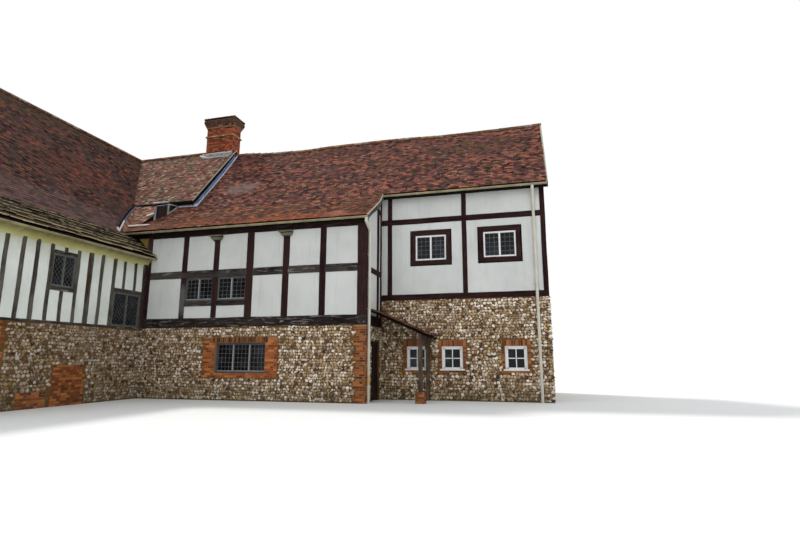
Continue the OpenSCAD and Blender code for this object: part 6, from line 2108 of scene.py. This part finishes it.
@dataclass(frozen=True)
class Window:
    """A window's lights and their leads or bars."""

    wall: Wall
    rect: Rect
    lights: int
    glazing: Glazing
    inset: float = 0.03
    frame: float = 0.055
    depth: float = 0.0375
    beaded: bool = False

    def light_rects(self) -> list[Rect]:
        """Gives each light's clear rectangle."""
        u0, u1, z0, z1 = self.rect
        width = (u1 - u0 - self.frame * (self.lights + 1)) / self.lights
        starts = [u0 + self.frame + i * (width + self.frame) for i in range(self.lights)]
        return [(start, start + width, z0 + self.frame, z1 - self.frame) for start in starts]

    def glaze(self, heap: Heap) -> None:
        """Adds the leads or bars."""
        for rect in self.light_rects():
            for start, end, width, depth in self._lines(rect):
                self._bar(heap, start, end, width, depth)
            self._edge(heap, rect)
        if self.beaded:
            for left, right in zip(self.light_rects(), self.light_rects()[1:]):
                u = (left[1] + right[0]) / 2
                self._bar(heap, (u, left[2]), (u, left[3]), self.frame * 0.8, 0.02, -self.depth + 0.012, 1)

    def _bar(self, heap: Heap, start: Span, end: Span, width: float, depth: float, shift: float = 0.0,
             material: int = 0) -> None:
        """Adds one lead or bar."""
        place = self.wall.place
        at = self.inset + self.depth - depth / 2 + 0.001 + shift
        first = place @ Vector((start[0], at, start[1]))
        last = place @ Vector((end[0], at, end[1]))
        out = (place.to_3x3() @ Vector((0, -1, 0))).normalized()
        heap.bar(first, last, width, depth, out, 0.5, material)

    def _edge(self, heap: Heap, rect: Rect) -> None:
        """Adds the thin casement round a light."""
        u0, u1, z0, z1 = rect
        wide = 0.045 if self.glazing is Glazing.BARS else 0.014
        deep = 0.03 if self.glazing is Glazing.BARS else 0.012
        half = wide / 2
        for start, end in (((u0, z0 + half), (u1, z0 + half)), ((u0, z1 - half), (u1, z1 - half)),
                           ((u0 + half, z0), (u0 + half, z1)), ((u1 - half, z0), (u1 - half, z1))):
            self._bar(heap, start, end, wide, deep)
        if self.beaded:
            self._bar(heap, (u0, z0 + 0.012), (u1, z0 + 0.012), 0.034, 0.03, 0.0, 1)

    def _lines(self, rect: Rect) -> Iterator[tuple[Span, Span, float, float]]:
        """Gives the lines of the leads or bars with their width and depth."""
        u0, u1, z0, z1 = rect
        if self.glazing is Glazing.DIAMOND:
            yield from self._diamonds(rect)
            return
        bars = self.glazing is Glazing.BARS
        wide, deep = (0.03, 0.024) if bars else (0.0095, 0.008)
        columns = 2 if bars else max(2, round((u1 - u0) / 0.145))
        rows = 2 if bars else max(2, round((z1 - z0) / 0.15))
        for i in range(1, columns):
            u = u0 + (u1 - u0) * i / columns
            yield (u, z0), (u, z1), wide, deep
        for i in range(1, rows):
            z = z0 + (z1 - z0) * i / rows
            yield (u0, z), (u1, z), wide, deep

    @staticmethod
    def _diamonds(rect: Rect) -> Iterator[tuple[Span, Span, float, float]]:
        """Gives the crossing leads of a diamond lattice."""
        u0, u1, z0, z1 = rect
        step, slope = 0.125, 1.35
        for sign in (1, -1):
            left = u0 if sign == 1 else u1
            first = -math.ceil((z1 - z0) / slope / step)
            for i in range(first, math.ceil((u1 - u0) / step) + 1):
                start = left + sign * (i + 0.5) * step
                ua, za = start, z0
                ub, zb = start + sign * (z1 - z0) / slope, z1
                low, high = (u0 - ua) / (ub - ua), (u1 - ua) / (ub - ua)
                low, high = max(0.0, min(low, high)), min(1.0, max(low, high))
                if high - low > 0.02:
                    yield ((ua + (ub - ua) * low, za + (zb - za) * low),
                           (ua + (ub - ua) * high, za + (zb - za) * high), 0.0095, 0.008)


class Windows:
    """Every window of the house."""

    @staticmethod
    def _casements(*walls: Wall) -> list[Window]:
        """Gives the plain ground casements of walls."""
        return [Window(wall, (u, u + CASEMENT_W, CASEMENT_SILL, CASEMENT_HEAD), 1, Glazing.BARS, 0.04)
                for wall in walls for u in CASEMENTS[wall]]

    def build(self, shelf: Shelf) -> None:
        """Glazes the windows."""
        square, diamond, pitch = Glazing.SQUARE, Glazing.DIAMOND, 14.2 / 30
        front = [Window(MAIN_FRONT, (1.6635, 2.7965, 3.38, 4.219), 2, square, beaded=True),
                 Window(MAIN_FRONT, (2.9615, 4.117, 3.38, 4.219), 2, square, beaded=True),
                 Window(MAIN_FRONT, (3.06, 4.98, 0.9, 1.91), 3, square, 0.12, beaded=True)]
        wing = [Window(WING_EAST, (6.093, 7.3, 2.47, 3.63), 2, diamond),
                Window(WING_EAST, (3.755, 4.548, 3.5, 4.5), 2, diamond)]
        wing += [Window(WING_WEST, (k * pitch + 0.16, (k + 2) * pitch + 0.04, 3.25, 4.4), 2, diamond)
                 for k in (3, 12, 21, 27)]
        wing += [Window(wall, (centre - 0.55, centre + 0.55, 3.25, 4.4), 3, diamond)
                 for wall in (Wall(-9.62, -7.5, 0), Wall(-0.18, 6.9, 180)) for centre in (2.36, 7.08)]
        recess = [Window(RECESS, (u, u + 1.1, 4.8, 5.7), 2, square) for u in (1.25, 3.65)]
        rear = [Window(REAR, (u, u + 1.1, 3.38, 4.17), 2, square) for u in (1.45, 5.3, 9.2)]
        rear.append(Window(Wall(14.25, 1.93, 90), (1.845, 2.945, 4.7, 5.5), 2, square))
        plain = self._casements(REAR, GABLE, WING_WEST, WING_SOUTH, WING_NORTH)
        for name, finishes, node, windows in (
                ("front_window_leads", [shelf.cames, shelf.bead], "front_windows", front),
                ("wing_window_leads", [shelf.dim_cames], "wing_windows", wing),
                ("recess_glazing_bars", [shelf.white], "recess_windows", self._casements(RECESS)),
                ("recess_window_leads", [shelf.cames], "recess_windows", recess),
                ("plain_side_glazing_bars", [shelf.white], "rear_windows", plain),
                ("plain_side_window_leads", [shelf.cames], "rear_windows", rear)):
            heap = Heap()
            for window in windows:
                window.glaze(heap)
            heap.piece(name, finishes, node)


# Stage


@dataclass
class Studio:
    """The plain floor, the soft light and the camera."""

    camera_at: tuple[float, float, float] = (13.577, -15.12, 1.384)
    camera_tilt: float = 10.51
    camera_turn: float = 14.59
    lens: float = 22.31
    fill: float = 0.96
    key: float = 2.0
    sun_tilt: float = 38.6
    sun_turn: float = -115.0

    def build(self) -> None:
        """Sets the stage."""
        self._camera()
        self._world()
        self._floor()
        self._key()

    def _camera(self) -> None:
        """Puts the camera at the photograph's place."""
        data = bpy.data.cameras.new("camera")
        data.lens = self.lens
        data.sensor_width = 36.0
        data.clip_end = 300.0
        camera = bpy.data.objects.new("camera", data)
        camera.location = self.camera_at
        camera.rotation_euler = (math.radians(90 + self.camera_tilt), 0.0, math.radians(self.camera_turn))
        bpy.context.scene.collection.objects.link(camera)
        bpy.context.scene.camera = camera

    def _world(self) -> None:
        """Lights the scene evenly, with a white backdrop for the camera and for reflections."""
        world = bpy.data.worlds.new("studio")
        bpy.context.scene.world = world
        world.use_nodes = True
        tree = world.node_tree
        soft, white = tree.nodes["Background"], tree.nodes.new("ShaderNodeBackground")
        soft.inputs[0].default_value = (0.94, 0.97, 1.0, 1.0)
        soft.inputs[1].default_value = self.fill
        white.inputs[0].default_value = (1, 1, 1, 1)
        rays = tree.nodes.new("ShaderNodeLightPath")
        seen, either = tree.nodes.new("ShaderNodeMath"), tree.nodes.new("ShaderNodeMath")
        seen.operation = either.operation = "MAXIMUM"
        mixed = tree.nodes.new("ShaderNodeMixShader")
        for start, end in ((rays.outputs["Is Camera Ray"], seen.inputs[0]),
                           (rays.outputs["Is Glossy Ray"], seen.inputs[1]),
                           (seen.outputs[0], either.inputs[0]),
                           (rays.outputs["Is Transmission Ray"], either.inputs[1]),
                           (either.outputs[0], mixed.inputs[0]), (soft.outputs[0], mixed.inputs[1]),
                           (white.outputs[0], mixed.inputs[2]),
                           (mixed.outputs[0], tree.nodes["World Output"].inputs[0])):
            tree.links.new(start, end)

    @staticmethod
    def _floor() -> None:
        """Lays the floor."""
        mesh = bmesh.new()
        place = Matrix.Translation((2, 0, 0))
        bmesh.ops.create_grid(mesh, x_segments=1, y_segments=1, size=140.0, matrix=place)
        add_object(mesh, "floor", [Mixer("floor").done((232, 232, 230), 0.9)])

    def _key(self) -> None:
        """Hangs the soft key light."""
        data = bpy.data.lights.new("key", "SUN")
        data.energy = self.key
        data.angle = math.radians(9)
        data.color = (1.0, 0.975, 0.94)
        light = bpy.data.objects.new("key", data)
        light.rotation_euler = (math.radians(self.sun_tilt), 0.0, math.radians(self.sun_turn))
        bpy.context.scene.collection.objects.link(light)


@dataclass(frozen=True)
class Rainware:
    """The small pieces of the gutters and pipes: unions, hooks and sockets."""

    main_y: float = -0.30
    main_z: float = 5.968
    wing_x: float = 0.335
    wing_z: float = 4.983
    recess_y: float = 1.42
    recess_z: float = 7.199

    def build(self, shelf: Shelf) -> None:
        """Sets them all."""
        heap, north = Heap(16), Vector((0, 1, 0))
        for x in (0.35, 2.2, 4.05, 5.9, 7.75):
            self._union(heap, Vector((x, self.main_y, self.main_z)), EAST)
        for x in (9.9, 11.7, 13.5):
            self._union(heap, Vector((x, self.recess_y, self.recess_z)), EAST)
        for y in (-6.2, -4.4, -2.6, -0.85):
            self._union(heap, Vector((self.wing_x, y, self.wing_z)), north)
        heap.piece("gutter_unions", [shelf.gutter], "gutters", smooth=True)
        heap = Heap(16)
        for k in range(13):
            x = -0.55 + k * 0.745
            heap.bar((x, self.main_y + 0.065, self.main_z - 0.01), (x, self.main_y + 0.2, self.main_z + 0.02),
                     0.025, 0.012, UP)
        heap.piece("gutter_hooks", [shelf.iron], "gutters")
        heap = Heap(8)
        for z in (1.15, 2.95, 4.75):
            heap.shell_ring(turned(8.554, 0.20, z), 0.050, 0.062, 0.045, 2 * math.pi, 16)
            heap.block(turned(8.512, 0.20, z + 0.022), (0.02, 0.15, 0.03))
        for x, y, turn in ((13.87, 1.702, 0.0), (13.75, 6.948, 0.0), (-9.848, 6.5, 90.0)):
            for z in (1.9, 3.8):
                heap.shell_ring(turned(x, y, z), 0.050, 0.060, 0.045, 2 * math.pi, 16)
                heap.block(turned(x, y, z + 0.022, turn), (0.15, 0.06, 0.03))
        heap.piece("pipe_clips", [shelf.pipe], "downpipes", smooth=True)

    @staticmethod
    def _union(heap: Heap, at: Vector, along: Vector) -> None:
        """Sets one union round a gutter."""
        place = axes(-UP.cross(along), -UP, along, at - along * 0.03)
        heap.shell_ring(place, 0.059, 0.068, 0.06, math.pi, 10)


class Carpentry:
    """All the timber frames and the plaster between them."""

    def build(self, shelf: Shelf) -> None:
        """Hews the frames and lays the panels."""
        every = ((0.0, 20.0),)
        side = ((2.45, 2.784), (3.4, 3.6), (4.219, 4.419), (4.535, 4.7), (5.5, 5.665), (5.9, 6.1), (7.25, 7.45),
                (8.7, 8.9))
        recess = ((3.4, 3.6), (4.635, 4.8), (5.7, 5.865), (6.15, 6.35), (7.15, 9.0))
        rear = ((2.45, 2.784), (3.215, 3.38), (4.17, 4.42), (5.749, 5.95), (7.15, 9.0))
        ends = ((2.39, 2.47), (3.13, 3.25), (4.4, 4.52), (4.92, 5.16), (7.3, 7.54), (9.2, 9.44))
        for frame, finish in (
                (HewnFrame("front_beams", "hewn_front_beams", every, 0.016, seed=1.0,
                           beams=((1.46, 4.13, -0.016, 0.06, 4.222, 4.412),)), shelf.oak_grey),
                (HewnFrame("front_posts", "hewn_front_posts", seed=2.0, swell=0.05), shelf.oak),
                (HewnFrame("wing_side_beams", "hewn_wing_beams", every, 0.010, seed=3.0), shelf.oak_grey),
                (HewnFrame("wing_side_studs", "hewn_wing_studs", waver=0.028, seed=4.0), shelf.oak_wing),
                (HewnFrame("side_timber_frames", "hewn_side_frames", side, seed=5.0), shelf.oak),
                (HewnFrame("recess_timber_frame", "hewn_recess_frame", recess, seed=6.0), shelf.oak),
                (HewnFrame("rear_timber_frame", "hewn_rear_frame", rear, step=0.24, seed=7.0), shelf.oak),
                (HewnFrame("wing_end_timber_frames", "hewn_wing_ends", ends, step=0.26, seed=8.0),
                 shelf.oak_wing)):
            frame.hew(finish)
        self._brackets(shelf)
        for node, name, finish in (("front", "front", shelf.plaster), ("side", "side", shelf.plaster),
                                   ("recess", "recess", shelf.plaster), ("rear", "rear", shelf.plaster),
                                   ("wing_side", "wing", shelf.wing_plaster),
                                   ("wing_end", "wing_end", shelf.wing_plaster)):
            PlasterPanels(f"{node}_plaster_panels", f"laid_{name}_plaster").lay(finish)

    @staticmethod
    def _brackets(shelf: Shelf) -> None:
        """Lays a slab and a cushion on each bracketed post, with a dark gap below and between them."""
        heap, top = Heap(4, seed=29), 5.745
        rng = heap.rng
        layers = ((-0.01, 0.046, (0.50, 0.155, 0.062), 0), (0.0, 0.094, (0.42, 0.13, 0.04), 1),
                  (0.02, 0.135, (0.39, 0.135, 0.062), 0), (0.02, 0.178, (0.33, 0.115, 0.05), 0),
                  (0.01, 0.212, (0.24, 0.10, 0.035), 1))
        for x in (2.879, 5.606):
            for shift, drop, size, material in layers:
                place = turned(x + shift, 0.005 - size[1] / 2, top - drop, rng.uniform(-1, 1), "Y")
                heap.worn_block(place, size, rng.random(), 0.014, 0.007, material)
        heap.piece("hewn_post_brackets", [shelf.oak_moss, shelf.oak_plain], "post_brackets", ("post_brackets",))


def dress_frame(shelf: Shelf) -> None:
    """Gives every CAD node its finish.

    Args:
        shelf: The finishes.
    """
    finishes = {
        shelf.mortar: ("front_flint_wall", "recess_flint_wall", "side_flint_walls", "rear_flint_wall",
                       "wing_side_flint_walls", "wing_end_flint_walls"),
        shelf.brick_mortar: ("front_brickwork", "recess_brickwork", "wing_brickwork", "porch_plinths"),
        shelf.stack_mortar: ("chimney_stack", "chimney_top"),
        shelf.oak_plain: ("front_beams", "front_posts", "side_timber_frames", "recess_timber_frame",
                          "rear_timber_frame", "wing_side_beams", "wing_side_studs", "wing_end_timber_frames",
                          "raised_roof_boards", "roof_hatch", "porch_door"),
        shelf.oak_post: ("porch_posts",),
        shelf.oak_verge: ("bargeboards",),
        shelf.oak_moss: ("post_brackets",),
        shelf.plaster: ("front_plaster_panels", "side_plaster_panels", "recess_plaster_panels",
                        "rear_plaster_panels"),
        shelf.wing_plaster: ("wing_side_plaster_panels", "wing_end_plaster_panels"),
        shelf.cove: ("wing_coved_eaves",),
        shelf.tiles_outshot: ("outshot_roof", "valley_roof", "porch_roof"),
        shelf.tiles_main: ("main_roof_front", "main_roof_rear", "ridge_tiles"),
        shelf.tiles_raised: ("raised_roof_front", "raised_roof_rear"),
        shelf.tiles_wing: ("wing_roof_east", "wing_roof_west"),
        shelf.stone: ("wing_stone_eaves", "ground_floor"),
        shelf.lead: ("lead_flashings",),
        shelf.gutter: ("gutters",),
        shelf.pipe: ("downpipes",),
        shelf.frame: ("front_windows",),
        shelf.frame_wing: ("wing_windows",),
        shelf.white: ("recess_windows", "rear_windows"),
        shelf.glass: ("window_glass",),
        shelf.boards: ("upper_floor",),
    }
    left = set(FRAME["nodes"])
    for material, names in finishes.items():
        for name in names:
            for slot in FRAME["nodes"][name].material_slots:
                slot.material = material
            left.discard(name)
    if left:
        LOG.warning("no finish for %s", sorted(left))


def main() -> None:
    """Builds the house's finishes and fine pieces in order."""
    logging.basicConfig(level=logging.INFO, format="%(message)s")
    FRAME.update(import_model())
    bpy.context.scene.view_settings.view_transform = "Standard"
    Studio().build()
    shelf = Shelf()
    dress_frame(shelf)
    Carpentry().build(shelf)
    roofs = Roofs()
    roofs.build(shelf)
    roofs.ridges(shelf)
    roofs.verges(shelf)
    for work in (StoneEaves(), Valley(), Leadwork(), Hatch(), Masonry(), Chimney(), Windows(), Rainware()):
        work.build(shelf)
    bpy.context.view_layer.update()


if __name__ == "__main__":
    main()
